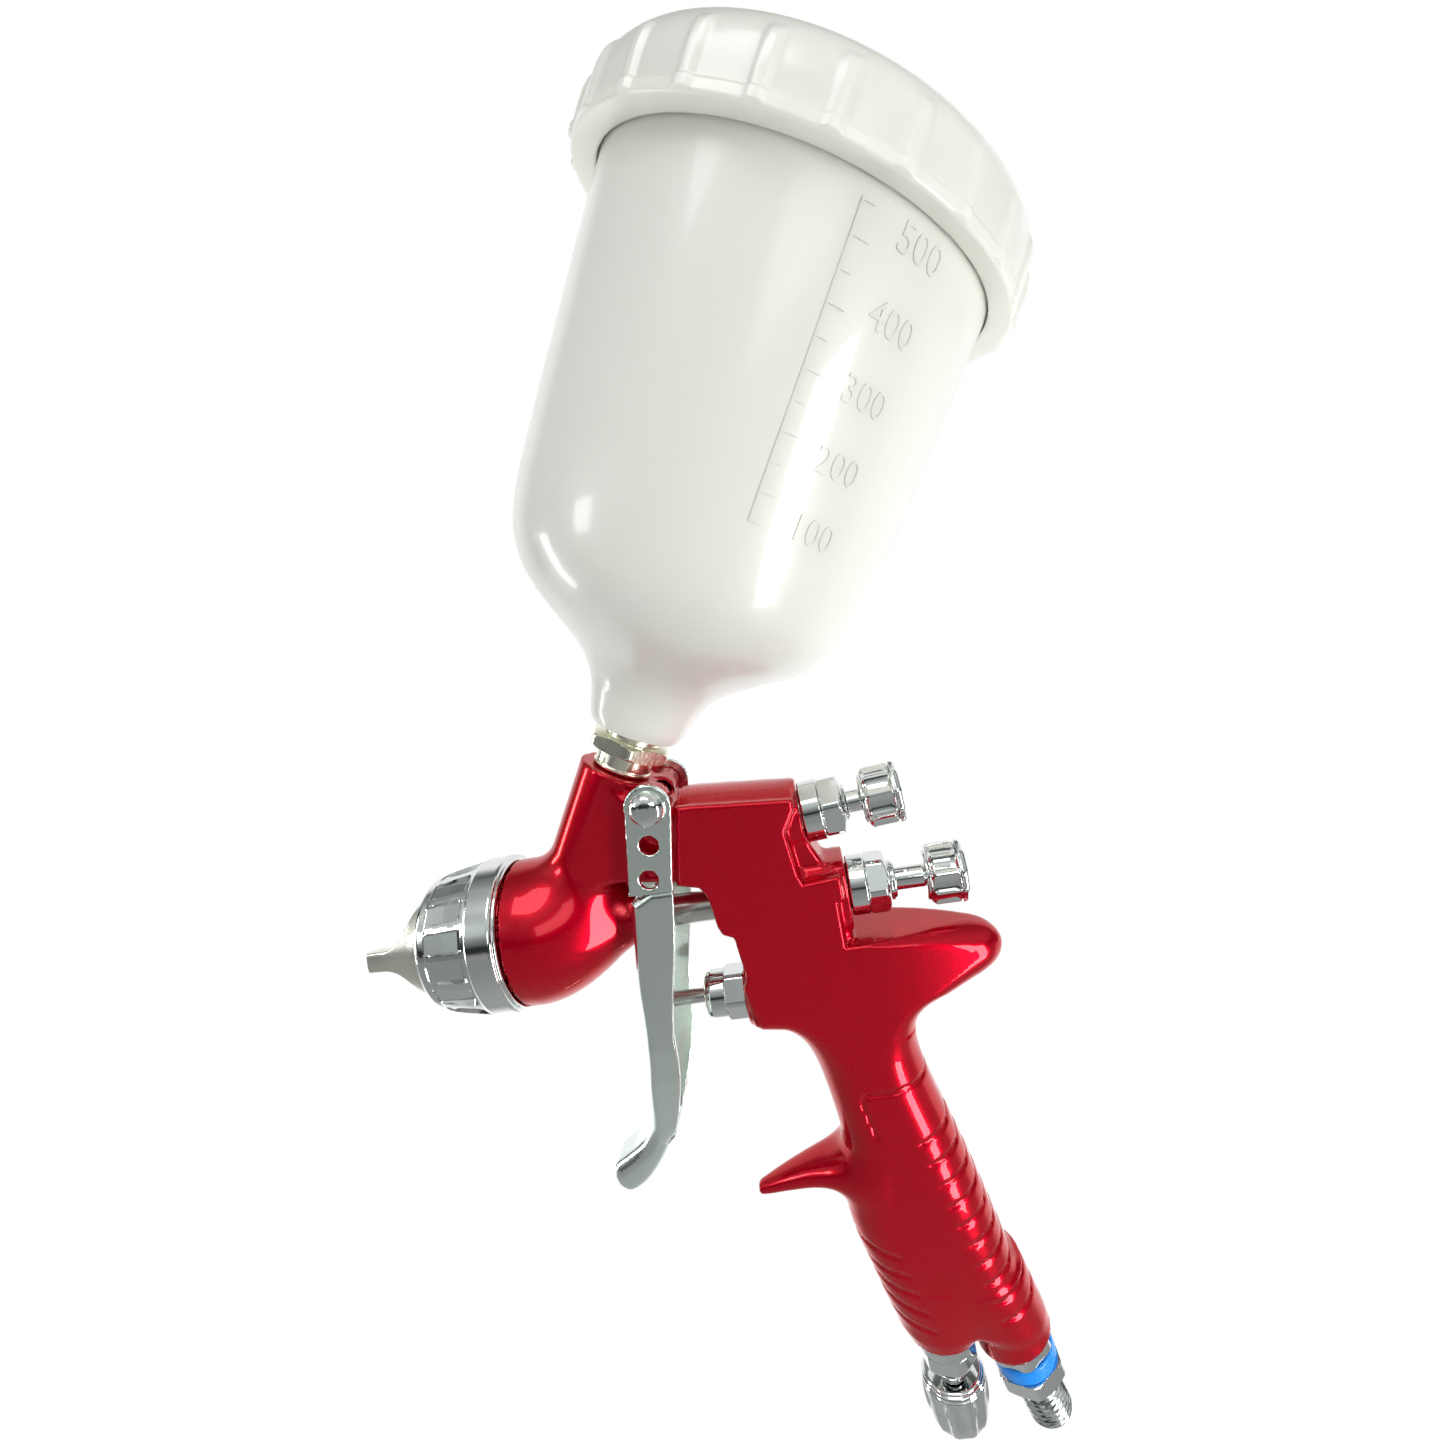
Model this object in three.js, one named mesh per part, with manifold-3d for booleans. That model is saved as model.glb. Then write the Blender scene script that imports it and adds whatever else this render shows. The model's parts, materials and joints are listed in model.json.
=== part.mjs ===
// Gravity-feed spray gun with a tilted plastic cup. Millimetres, +Z up.
// The gun is drawn in its nozzle frame: the nozzle and needle lie on the X axis, the nozzle points
// to -X, and the gun is symmetric about Y = 0. The whole assembly is then moved so that the middle
// of the hand grip is the origin.
import * as THREE from 'three'
import { mergeVertices } from 'three/addons/utils/BufferGeometryUtils.js'
import Module from 'manifold-3d'

const wasm = await Module()
wasm.setup()

// ---------------------------------------------------------------- driving dimensions
const GRIP = { x: 53, z: -99 }                  // middle of the hand grip in the nozzle frame
const GAP = 0.3                                 // clearance between touching pieces
const FINE = 20                                 // sides of large round pieces
const ROUND = 12                                // sides of small round pieces
const FLAT = 0.03                               // slivers thinner than this are merged away

const RING = { rear: -44.7, front: -67.8, rearR: 20.6, bandR: 21.6, noseR: 18.0, boreR: 19.0 }
const HEAD = { faceX: -55.5, threadR: 18.6, bulbR: 19.9, rearX: -15.5 }
const CAP = { faceX: -70.5, flangeX: -63.6, flangeR: 17.0, bodyR: 14.8, hornTipX: -86 }
const BODY = { half: 11.8, bevel: 1.4 }         // half thickness of the flat-sided middle
const NEEDLE = { tipR: 1.1, rodR: 1.8, hubR: 4.2, boreR: 4.6 }
const REAR_FACE = 44.3                          // rear face of the boss round the needle
const TRIGGER = { pivotX: -0.65, pivotZ: 33.2, inner: 13.9, plate: 1.7 }
const VALVE = { z: -26, faceX: 13 }             // air valve axis and the body face it screws into
const FAN = { x: 35.6, z: 21.8, tilt: 4.1 }     // pattern valve: seat on the body and tilt
const CUP = { tilt: 30.2, baseX: -9.03, baseZ: 41.22 }
const CHEATER = { x: 51.5, z: -139.9, tilt: 2 } // air flow valve, at the face of its boss
const INLET = { x: 71.7, z: -144.8, tilt: 15 }  // air inlet, at the face of its boss
const LOWER_BOSS_R = 11.2

// ---------------------------------------------------------------- solids
const vec = (x, y, z) => new THREE.Vector3(x, y, z)
const rad = THREE.MathUtils.degToRad

function frameOn(origin, direction) {
  // Places a solid drawn along +Y so that it stands at origin and points along direction.
  const turn = new THREE.Quaternion().setFromUnitVectors(vec(0, 1, 0), direction.clone().normalize())
  return new THREE.Matrix4().compose(origin, turn, vec(1, 1, 1))
}

function signedVolume(position, triangles) {
  const a = vec(0, 0, 0)
  const b = vec(0, 0, 0)
  const c = vec(0, 0, 0)
  let sum = 0
  for (let i = 0; i < triangles.length; i += 3) {
    a.fromBufferAttribute(position, triangles[i])
    b.fromBufferAttribute(position, triangles[i + 1])
    c.fromBufferAttribute(position, triangles[i + 2])
    sum += a.dot(b.cross(c))
  }
  return sum / 6
}

function toSolid(geometry, matrix) {
  const bare = geometry.index ? geometry.clone() : mergeVertices(geometry.clone())
  bare.deleteAttribute('normal')
  bare.deleteAttribute('uv')
  if (matrix) bare.applyMatrix4(matrix)
  const merged = mergeVertices(bare, 1e-4)
  const index = merged.index.array
  const kept = []
  for (let i = 0; i < index.length; i += 3) {
    const [a, b, c] = [index[i], index[i + 1], index[i + 2]]
    if (a !== b && b !== c && c !== a) kept.push(a, b, c)
  }
  if (signedVolume(merged.attributes.position, kept) < 0) kept.reverse()
  return new wasm.Manifold(new wasm.Mesh({
    numProp: 3,
    vertProperties: new Float32Array(merged.attributes.position.array),
    triVerts: new Uint32Array(kept),
  }))
}

function turned(profile, place, sides = ROUND) {
  // profile: [radius, distance along the axis] pairs that start and end on the axis or close up
  const points = profile.map(([r, s]) => new THREE.Vector2(r, s))
  return toSolid(new THREE.LatheGeometry(points, sides), place)
}

const rod = (r, from, to, place, sides) => turned([[0, from], [r, from], [r, to], [0, to]], place, sides)

function tube(outer, inner, from, to, place, sides) {
  return turned([[inner, from], [outer, from], [outer, to], [inner, to], [inner, from]], place, sides)
}

function prism(points, depth, bevel = 0) {
  // outline in X and Z, thickened both ways from Y = 0 to depth on each side
  const shape = new THREE.Shape(points.map(([x, z]) => new THREE.Vector2(x, z)))
  const flat = 2 * (depth - bevel)
  const options = { depth: flat, bevelEnabled: bevel > 0, bevelThickness: bevel, bevelSize: bevel }
  const geometry = new THREE.ExtrudeGeometry(shape, {
    ...options, bevelOffset: -bevel, bevelSegments: 1, curveSegments: 8,
  })
  const place = new THREE.Matrix4().makeRotationX(Math.PI / 2)
  place.setPosition(0, flat / 2, 0)
  return toSolid(geometry, place)
}

function hexagon(acrossFlats, from, to, place, bore = 0) {
  const corner = acrossFlats / 2 / Math.cos(Math.PI / 6)
  const bar = new THREE.CylinderGeometry(corner, corner, to - from, 6)
  const solid = toSolid(bar, place.clone().multiply(new THREE.Matrix4().makeTranslation(0, (from + to) / 2, 0)))
  const ease = turned([
    [0, from], [corner - 0.9, from], [corner, from + 0.6], [corner, to - 0.6], [corner - 0.9, to], [0, to],
  ], place, 12)
  const eased = solid.intersect(ease)
  return bore > 0 ? eased.subtract(rod(bore, from - 1, to + 1, place)) : eased
}

function loft(stations, sides, power) {
  // stations: { at: Vector3, u: Vector3, v: Vector3 } with u and v the half axes of a rounded section
  const geometry = new THREE.CylinderGeometry(1, 1, stations.length - 1, sides, stations.length - 1)
  const position = geometry.attributes.position
  const point = vec(0, 0, 0)
  for (let i = 0; i < position.count; i++) {
    const row = Math.round((stations.length - 1) / 2 - position.getY(i))
    const { at, u, v } = stations[row]
    const x = position.getX(i)
    const z = position.getZ(i)
    const bulge = (w) => Math.sign(w) * Math.abs(w) ** (2 / power)
    point.copy(at).addScaledVector(u, bulge(x)).addScaledVector(v, bulge(z))
    position.setXYZ(i, point.x, point.y, point.z)
  }
  return toSolid(geometry)
}

const join = (...solids) => solids.reduce((sum, next) => sum.add(next))
const cut = (solid, ...tools) => tools.reduce((rest, tool) => rest.subtract(tool), solid)

// ---------------------------------------------------------------- places and axes
const alongX = (x) => frameOn(vec(x, 0, 0), vec(1, 0, 0))
const valveAxis = frameOn(vec(VALVE.faceX, 0, VALVE.z), vec(-1, 0, 0))
const fanWay = vec(Math.cos(rad(FAN.tilt)), 0, Math.sin(rad(FAN.tilt)))
const fanAxis = frameOn(vec(FAN.x, 0, FAN.z), fanWay)
const cupWay = vec(Math.sin(rad(CUP.tilt)), 0, Math.cos(rad(CUP.tilt)))
const cupAxis = frameOn(vec(CUP.baseX, 0, CUP.baseZ), cupWay)
const downAt = (tilt) => vec(Math.sin(rad(tilt)), 0, -Math.cos(rad(tilt)))
const cheaterAxis = frameOn(vec(CHEATER.x, 0, CHEATER.z), downAt(CHEATER.tilt))
const inletAxis = frameOn(vec(INLET.x, 0, INLET.z), downAt(INLET.tilt))

// ---------------------------------------------------------------- materials
const finish = (color, roughness, metalness) => new THREE.MeshStandardMaterial({ color, roughness, metalness })
const red = finish(0xa3001c, 0.18, 0.6)
const chrome = finish(0xd8dadb, 0.08, 1)
const nickel = finish(0xb9b5a6, 0.32, 1)
const steel = finish(0x9a9c9e, 0.3, 1)
const brass = finish(0xb08d45, 0.35, 1)
const white = finish(0xe9e9e4, 0.3, 0)
const blue = finish(0x0f86e8, 0.35, 0.1)
const black = finish(0x1b1b1c, 0.6, 0)

const model = new THREE.Group()
const gun = new THREE.Group()
gun.position.set(-GRIP.x, 0, -GRIP.z)
model.add(gun)

function piece(name, solid, material) {
  const mesh = solid.simplify(FLAT).getMesh()
  const geometry = new THREE.BufferGeometry()
  geometry.setAttribute('position', new THREE.BufferAttribute(new Float32Array(mesh.vertProperties), 3))
  geometry.setIndex(new THREE.BufferAttribute(new Uint32Array(mesh.triVerts), 1))
  geometry.computeVertexNormals()
  const node = new THREE.Mesh(geometry, material)
  node.name = name
  gun.add(node)
}

// ---------------------------------------------------------------- gun body
function headBulb() {
  return turned([
    [0, HEAD.faceX], [HEAD.threadR, HEAD.faceX], [HEAD.threadR, -44.3], [HEAD.bulbR - 0.5, -44.2],
    [HEAD.bulbR, -43], [HEAD.bulbR, -39], [18.6, -34], [16.1, -28.3], [12.7, -22.8], [7.9, -17],
    [6.6, HEAD.rearX], [0, HEAD.rearX],
  ], alongX(0), FINE)
}

function middlePlate() {
  return prism([
    [-20, 11], [1.2, 10.8], [7.3, 9.2], [9.3, 0], [10.4, -3.5], [13.5, -5], [13.6, -31.5], [23.5, -33.4],
    [27.6, -42], [54.6, -44], [55.6, -36], [60, -24], [50, -11.6], [37.5, -9.5], [36.4, 11], [34.2, 24.6],
    [33.8, 28.1], [20.5, 30.5], [7, 32.3], [2.5, 35.5], [-8, 37], [-20, 22],
  ], BODY.half, BODY.bevel)
}

function handle() {
  // [height, front, back, half thickness]
  const rows = [
    [-30, 22, 56, 11], [-43, 27.2, 54.6, 11.8], [-60, 30.4, 58.8, 12.6], [-73, 31.8, 63, 13],
    [-87, 29.8, 66.8, 13.4], [-100, 30.6, 70, 13.4], [-113, 33.6, 73.2, 13.2], [-126, 36.4, 76.6, 12.4],
    [-134, 41, 77.4, 10.6],
  ]
  const stations = rows.map(([z, front, back, half]) => ({
    at: vec((front + back) / 2, 0, z), u: vec((back - front) / 2, 0, 0), v: vec(0, half, 0),
  }))
  return loft(stations, 16, 2.5)
}

function rearHorn() {
  // [x, centre height, half height, half thickness]
  const rows = [[82.9, -20.6, 1.6, 2.2], [80, -20.8, 4.4, 5], [74, -21.4, 6.6, 7.2], [64.8, -22.5, 9.2, 9.4],
    [52, -23, 12, 11.4], [44, -24, 12.5, 11.4]]
  const stations = rows.map(([x, z, high, half]) => ({
    at: vec(x, 0, z), u: vec(0, 0, high), v: vec(0, half, 0),
  }))
  return loft(stations, 12, 2.1)
}

function fingerGuard() {
  const rows = [[36, -82.6, 6, 9], [32, -82.8, 5, 9], [21.6, -83.8, 3.9, 5.9], [14, -85.8, 3, 4.3],
    [7.6, -88, 2.1, 2.7], [5, -89, 0.9, 1.2]]
  const stations = rows.map(([x, z, high, half]) => ({
    at: vec(x, 0, z), u: vec(0, 0, high), v: vec(0, half, 0),
  }))
  return loft(stations, 8, 2.2)
}

function gunBody() {
  const outside = join(
    headBulb(),
    rod(10.8, -42, 0, cupAxis, FINE),
    middlePlate(),
    rod(9.3, 26, REAR_FACE, alongX(0), FINE),
    rod(9.2, -22, 0, valveAxis, FINE),
    handle(),
    rearHorn(),
    fingerGuard(),
    rod(LOWER_BOSS_R, -20, 0, cheaterAxis, FINE),
    rod(LOWER_BOSS_R, -24, 0, inletAxis, FINE),
    rod(4.2, -BODY.half - 0.8, BODY.half + 0.8, frameOn(vec(TRIGGER.pivotX, 0, TRIGGER.pivotZ), vec(0, 1, 0))),
  )
  return cut(
    outside,
    turned([[0, -70], [12.6, -70], [12.6, -45.2], [9.2, -45.2], [9.2, -34], [5.4, -34], [5.4, -14], [0, -14]],
      alongX(0)),
    rod(2.4, -50, 60, alongX(0)),
    rod(NEEDLE.boreR, 3, 60, alongX(0)),
    rod(6.4, 30, 60, alongX(0)),
    rod(9.2, 0, 16, cheaterAxis, FINE),
    turned([[0, 2], [6.6, 2], [6.6, -11], [4, -11], [4, -44], [0, -44]], cupAxis),
    rod(5.2, -36, 2, valveAxis),
    rod(5.2, -16, 2, fanAxis),
    rod(2.2, -46, -14, fanAxis),
    rod(5.2, -18, 2, cheaterAxis),
    rod(5.2, -13, 2, inletAxis),
    rod(4, -118, -10, inletAxis),
    rod(3.6, -20, 20, frameOn(vec(44, 0, -110), vec(1, 0, 0.9))),
    rod(2.6, -20, 20, frameOn(vec(TRIGGER.pivotX, 0, TRIGGER.pivotZ), vec(0, 1, 0))),
  )
}

piece('gun_body', gunBody(), red)

// ---------------------------------------------------------------- spray head
function fluidTip() {
  const outside = turned([
    [0, -75.5], [1.6, -75.5], [2.4, -72], [5.6, -66], [6.6, -61], [6.6, -57.6], [8.6, -57.6], [8.6, -45.9],
    [5.1, -45.9], [5.1, -37], [0, -37],
  ], alongX(0), ROUND)
  const passage = turned([
    [0, -76.5], [0.9, -76.5], [0.9, -74.5], [3.6, -64], [3.6, -36], [0, -36],
  ], alongX(0), 14)
  return outside.subtract(passage)
}

function baffle() {
  const disc = tube(17.2, 9.1, -58.6, HEAD.faceX - GAP, alongX(0), FINE)
  const holes = []
  for (let i = 0; i < 8; i++) {
    const angle = rad(22.5 + 45 * i)
    holes.push(rod(1.3, -60, -54, frameOn(vec(0, 13.2 * Math.cos(angle), 13.2 * Math.sin(angle)), vec(1, 0, 0)), 8))
  }
  return cut(disc, ...holes)
}

function airCap() {
  const cone = turned([
    [0, CAP.faceX - 1.4], [5, CAP.faceX - 1.4], [9, CAP.faceX], [13.6, CAP.faceX + 0.2], [CAP.bodyR, CAP.faceX + 2],
    [CAP.bodyR, CAP.flangeX - 0.2], [CAP.flangeR, CAP.flangeX], [CAP.flangeR, -59.2], [0, -59.2],
  ], alongX(0), FINE)
  const horn = prism([
    [CAP.faceX + 3, 11], [CAP.faceX, 9.6], [-74.6, 6], [-77.8, 3.4], [-80.4, 2.9], [CAP.hornTipX, 2.7],
    [CAP.hornTipX, -2.7], [-80.4, -2.9], [-77.8, -3.4], [-74.6, -6], [CAP.faceX, -9.6], [CAP.faceX + 3, -11],
  ], 14)
  const shell = turned([
    [6.8, -66], [14.2, -66], [14.2, -71], [12.2, -78], [11, CAP.hornTipX - 1], [7.4, CAP.hornTipX - 1],
    [6.8, -76], [6.8, -66],
  ], alongX(0), FINE)
  const cavity = turned([
    [0, -58], [15, -58], [15, -63.2], [9.6, -66.6], [5.2, -69], [3.4, -71.2], [3.2, -76.5], [0, -76.5],
  ], alongX(0))
  return cut(join(cone, horn.intersect(shell)), cavity)
}

function retainingRing() {
  const outside = turned([
    [RING.boreR, RING.rear], [RING.rearR, RING.rear], [RING.bandR, RING.rear - 1.4], [RING.bandR, -52.4],
    [21.1, -52.9], [RING.noseR + 0.9, -64.6], [RING.noseR, -65.2], [RING.noseR - 0.5, RING.front],
    [15.3, RING.front], [15.3, -64.2], [17.4, -64.2], [17.4, -59.6], [RING.boreR, -59.4],
    [RING.boreR, RING.rear],
  ], alongX(0), 28)
  const grooves = []
  for (let i = 0; i < 14; i++) {
    const angle = (2 * Math.PI * i) / 14
    const groove = new THREE.BoxGeometry(10.8, 1.7, 2)
    const lean = new THREE.Matrix4().makeRotationZ(-0.16)
    const place = new THREE.Matrix4().makeRotationX(angle)
    place.multiply(new THREE.Matrix4().makeTranslation(-59.2, 20.2, 0)).multiply(lean)
    grooves.push(toSolid(groove, place))
  }
  return cut(outside, ...grooves)
}

piece('fluid_tip', fluidTip(), nickel)
piece('baffle_plate', baffle(), brass)
piece('head_gasket', tube(12.3, 8.9, -47.6, -45.5, alongX(0)), white)
piece('air_cap', airCap(), nickel)
piece('retaining_ring', retainingRing(), chrome)
piece('cap_slip_ring', tube(18.6, 17.5, -59, -57.6, alongX(0), FINE), black)
piece('needle_packing', tube(5.1, 2.2, -33.7, -27, alongX(0)), white)
piece('packing_spring_washer', tube(5.1, 2.4, -26.7, -25.2, alongX(0)), steel)
piece('packing_nut', join(tube(5.1, 2.2, -24.9, -15.2, alongX(0)), hexagon(9, -15.2, -12.4, alongX(0), 2.2)), brass)

// ---------------------------------------------------------------- needle and fluid adjustment
function coil(radius, wire, turns, from, to, place) {
  class Helix extends THREE.Curve {
    getPoint(t) {
      const angle = 2 * Math.PI * turns * t
      return vec(radius * Math.cos(angle), from + (to - from) * t, radius * Math.sin(angle))
    }
  }
  const section = new THREE.Shape()
  for (let i = 0; i < 4; i++) {
    const angle = (2 * Math.PI * i) / 4
    const [x, y] = [wire * Math.cos(angle), wire * Math.sin(angle)]
    if (i === 0) section.moveTo(x, y)
    else section.lineTo(x, y)
  }
  const path = new Helix()
  return toSolid(new THREE.ExtrudeGeometry(section, { extrudePath: path, steps: turns * 8 }), place)
}

piece('fluid_needle', turned([
  [0, -75], [0.35, -75], [NEEDLE.tipR, -66], [NEEDLE.rodR, -60], [NEEDLE.rodR, -9], [NEEDLE.hubR, -9],
  [NEEDLE.hubR, 16], [2, 16.6], [2, 24], [0, 24],
], alongX(0)), steel)
piece('needle_spring', coil(3, 0.5, 5, 18.2, 38, alongX(0)), steel)

function valveBushing(face, nose, place, inner) {
  // screwed into the body, then a round band, a hexagon and an eased nose
  return cut(join(
    rod(6.1, face - 11, face + 1, place),
    rod(8, face + GAP, face + 4.9, place, FINE),
    hexagon(14.6, face + 4.4, nose - 0.9, place),
    rod(5.4, nose - 1, nose, place),
  ), rod(inner, face - 12, nose + 1, place))
}

function knob(from, to, place, shaftR, shaftFrom, blind) {
  // fluted knob with a stepped collar in front, a bead behind and its shaft
  const barrel = turned([
    [0, from], [6.2, from], [6.6, from + 0.8], [8, from + 1.4], [8.1, to - 1.6], [8.3, to - 1.2],
    [7.9, to], [6.6, to], [6.2, to - 0.6], [0, to - 0.6],
  ], place, 16)
  const flutes = []
  for (let i = 0; i < 8; i++) {
    const angle = (2 * Math.PI * i) / 8
    const at = vec(8.9 * Math.cos(angle), 0, 8.9 * Math.sin(angle))
    const spot = place.clone().multiply(new THREE.Matrix4().makeTranslation(at.x, 0, at.z))
    flutes.push(rod(1.5, from + 1.6, to - 1.6, spot, 6))
  }
  const body = join(cut(barrel, ...flutes), rod(shaftR, shaftFrom, from + 1, place))
  return blind > 0 ? body.subtract(rod(blind, shaftFrom - 1, from - 4, place)) : body
}

piece('fluid_valve_bushing', valveBushing(REAR_FACE, 56.2, alongX(0), 5.15), chrome)
piece('needle_spring_pad', cut(
  rod(4.4, 38.4, 41.2, alongX(0)),
  rod(2.2, 36, 40, alongX(0)),
), brass)
piece('fluid_knob', knob(64.4, 74.8, alongX(0), 3, 56.6, 0).add(rod(4.8, 41.5, 57, alongX(0))), chrome)

// ---------------------------------------------------------------- pattern valve
piece('pattern_valve_bushing', cut(join(
  rod(4.9, -10, 1, fanAxis),
  rod(8, GAP, 5.6, fanAxis, FINE),
  hexagon(14.6, 5.2, 11.4, fanAxis),
  rod(5.4, 11.3, 12.2, fanAxis),
), rod(3.6, -12, 14, fanAxis)), chrome)
piece('pattern_valve_o_ring', tube(3.3, 2.2, -3.6, -1.6, fanAxis, 14), black)
piece('pattern_knob', join(
  knob(15.6, 26, fanAxis, 3, -0.9, 0),
  rod(1.9, -13, 0, fanAxis, 14),
  turned([[0, -18], [1.9, -13], [0, -13]], fanAxis, 14),
), chrome)

// ---------------------------------------------------------------- air valve
piece('air_valve_nut', cut(join(
  rod(4.9, -12, 1, valveAxis),
  hexagon(13.4, GAP, 7.6, valveAxis),
  rod(5.5, 7, 11.8, valveAxis),
), rod(2.4, -13, 13, valveAxis)), chrome)
piece('air_valve_seal', tube(4.8, 2.4, -14, -12.3, valveAxis, 14), white)
piece('air_valve_stem', join(
  rod(2, -16.4, 24.7, valveAxis, 14),
  turned([[0, -18.4], [4.2, -18.4], [4.6, -17.6], [4.6, -15.6], [3, -14.5], [0, -14.5]], valveAxis),
), steel)
piece('air_valve_spring', coil(3.4, 0.45, 6, -35.3, -19.2, valveAxis), steel)

// ---------------------------------------------------------------- trigger
function triggerSide() {
  // [height, front, back] of the trigger seen from the side, top to bottom
  const rows = [[12.5, -10.9, 1.8], [10.6, -10.3, 1.4], [-3, -12, -0.9], [-13, -13.4, -3.2], [-26, -14, -5.9],
    [-38, -15.4, -6.7], [-47, -16.8, -8.2], [-54, -18.6, -10]]
  const front = rows.map(([z, x]) => [x, z])
  const back = rows.map(([z, , x]) => [x, z]).reverse()
  const lip = [[-20.8, -58.6], [-27, -62], [-30.6, -65], [-31.8, -68.6], [-30, -72.2], [-26, -73.6],
    [-20.6, -71.4], [-15.8, -65.8]]
  return [...front, ...lip, ...back]
}

function triggerOutline() {
  const { pivotX, pivotZ } = TRIGGER
  const top = []
  for (let i = 0; i <= 10; i++) {
    const angle = rad(-12 + (200 * i) / 10)
    top.push([pivotX + 5.9 * Math.cos(angle), pivotZ + 5.9 * Math.sin(angle)])
  }
  const sides = triggerSide()
  return [...top, [-9.6, 15], ...sides.slice(1), [1.8, 15]]
}

function acrossTrigger(half) {
  // everything within half of the middle, drawing in towards the end of the finger lip
  const edge = [[half, 60], [half, -54], [half - 1, -60], [half - 3, -66], [half - 6, -71], [half - 10, -76]]
  const mirrored = edge.map(([y, z]) => [-y, z]).reverse()
  return prism([...edge, ...mirrored], 60).rotate([0, 0, 90])
}

function trigger() {
  const { pivotX, pivotZ, inner, plate } = TRIGGER
  const outer = prism(triggerOutline(), inner + plate, 0.6).intersect(acrossTrigger(inner + plate))
  // the space between the legs: open at the back, closed in front by the web below the body
  const space = prism([
    [-8.9, 10.3], [-10.3, -3], [-11.7, -13], [-12.3, -26], [-13.7, -38], [-15.1, -47], [-16.9, -54.6],
    [-19.4, -60.4], [-22.4, -64], [-19, -66], [-14, -62], [20, -62], [20, 45], [-30, 45], [-30, 10.3],
  ], inner)
  const holes = [[pivotX, pivotZ, 2.9], [-2.1, 24, 2.5], [-3.9, 15.2, 2.5]].map(([x, z, r]) => (
    rod(r, -20, 20, frameOn(vec(x, 0, z), vec(0, 1, 0)), 16)
  ))
  const slot = prism([[-20, 5.5], [0, 5.5], [0, -4], [-20, -4]], 2.6)
  return cut(outer, space.intersect(acrossTrigger(inner)), slot, ...holes)
}

piece('trigger', trigger(), chrome)

const pivotY = frameOn(vec(TRIGGER.pivotX, 0, TRIGGER.pivotZ), vec(0, -1, 0))
const outerLeg = TRIGGER.inner + TRIGGER.plate
piece('trigger_stud', cut(turned([
  [0, -BODY.half - 0.6], [2.3, -BODY.half - 0.6], [2.3, outerLeg + GAP], [4.5, outerLeg + GAP],
  [4.4, outerLeg + 1.2], [3.4, outerLeg + 2.5], [1.8, outerLeg + 3.1], [0, outerLeg + 3.3],
], pivotY), rod(1.2, -BODY.half - 2, -2, pivotY, 10)), chrome)
piece('trigger_screw', join(
  rod(0.9, -BODY.half - 1.2, -3, pivotY, 10),
  turned([[0, -outerLeg - 2.4], [2.6, -outerLeg - 2.2], [4.3, -outerLeg - 1], [4.4, -outerLeg - GAP],
    [2.3, -outerLeg - GAP], [2.3, -BODY.half - 0.9], [0, -BODY.half - 0.9]], pivotY),
), chrome)

// ---------------------------------------------------------------- air flow valve and air inlet
piece('flow_valve_bushing', cut(join(
  rod(4.9, -12, 1, cheaterAxis),
  rod(8.6, GAP, 6.6, cheaterAxis, FINE),
  hexagon(15.4, 6.2, 11.6, cheaterAxis),
), rod(3.7, -14, 13, cheaterAxis)), chrome)
piece('flow_valve_o_ring', tube(3.4, 2.2, -3.4, -1.4, cheaterAxis, 14), black)
piece('flow_valve_knob', (() => {
  const body = turned([
    [0, -13], [1.9, -13], [1.9, -1], [3, -1], [3, 14], [4.6, 14], [4.6, 16.6], [8.6, 17.6], [9.2, 18.8],
    [9.6, 19.4], [9.6, 30.6], [7.6, 35.4], [6.4, 36], [0, 36],
  ], cheaterAxis, 16)
  const flutes = []
  for (let i = 0; i < 8; i++) {
    const angle = (2 * Math.PI * i) / 8
    const at = new THREE.Matrix4().makeTranslation(10.4 * Math.cos(angle), 0, 10.4 * Math.sin(angle))
    flutes.push(rod(1.7, 20.4, 37, cheaterAxis.clone().multiply(at), 6))
  }
  return cut(body, ...flutes)
})(), chrome)
piece('air_inlet_nipple', cut(join(
  rod(4.9, -10, 1, inletAxis),
  hexagon(17, GAP, 5.4, inletAxis),
  rod(8.2, 5.2, 10.6, inletAxis),
  hexagon(18.4, 10.4, 15.2, inletAxis),
  turned([[0, 15], [5.6, 15], [5.6, 19.4], [6.3, 19.6], [6.3, 30.4], [5.4, 31.4], [0, 31.4]], inletAxis),
), rod(3.4, -12, 33, inletAxis)), chrome)
piece('inlet_colour_ring', tube(9.1, 8.2 + GAP, 5.7, 10.1, inletAxis, FINE), blue)

// ---------------------------------------------------------------- paint cup
piece('cup_seal_washer', tube(6.2, 4.2, -10.7, -9.3, cupAxis), black)
piece('cup_fitting', cut(join(
  rod(6.3, -9, 1, cupAxis),
  rod(7.6, GAP, 2.6, cupAxis),
  hexagon(19.4, 2, 6.8, cupAxis),
  rod(8.7, 6.4, 10.6, cupAxis),
  rod(5.6, 9, 17.6, cupAxis),
), rod(4.1, -12, 20, cupAxis)), nickel)

function cupProfile(offset) {
  const outer = [[11.9, 11], [14, 20], [16.2, 24.9], [20, 29.2], [32.4, 37.6], [38.9, 43.8], [42.5, 50.8],
    [43.9, 61.4], [45.4, 124], [45.4, 137.4]]
  return outer.map(([r, s]) => [r - offset, s + (s < 45 ? offset : 0)])
}

function cupBody() {
  const outer = cupProfile(0)
  const inner = cupProfile(1.7)
  inner[inner.length - 1][1] = 137.4
  return turned([[5.9, 11], ...outer, ...inner.reverse(), [5.9, 12.7], [5.9, 11]], cupAxis, 24)
}

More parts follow.
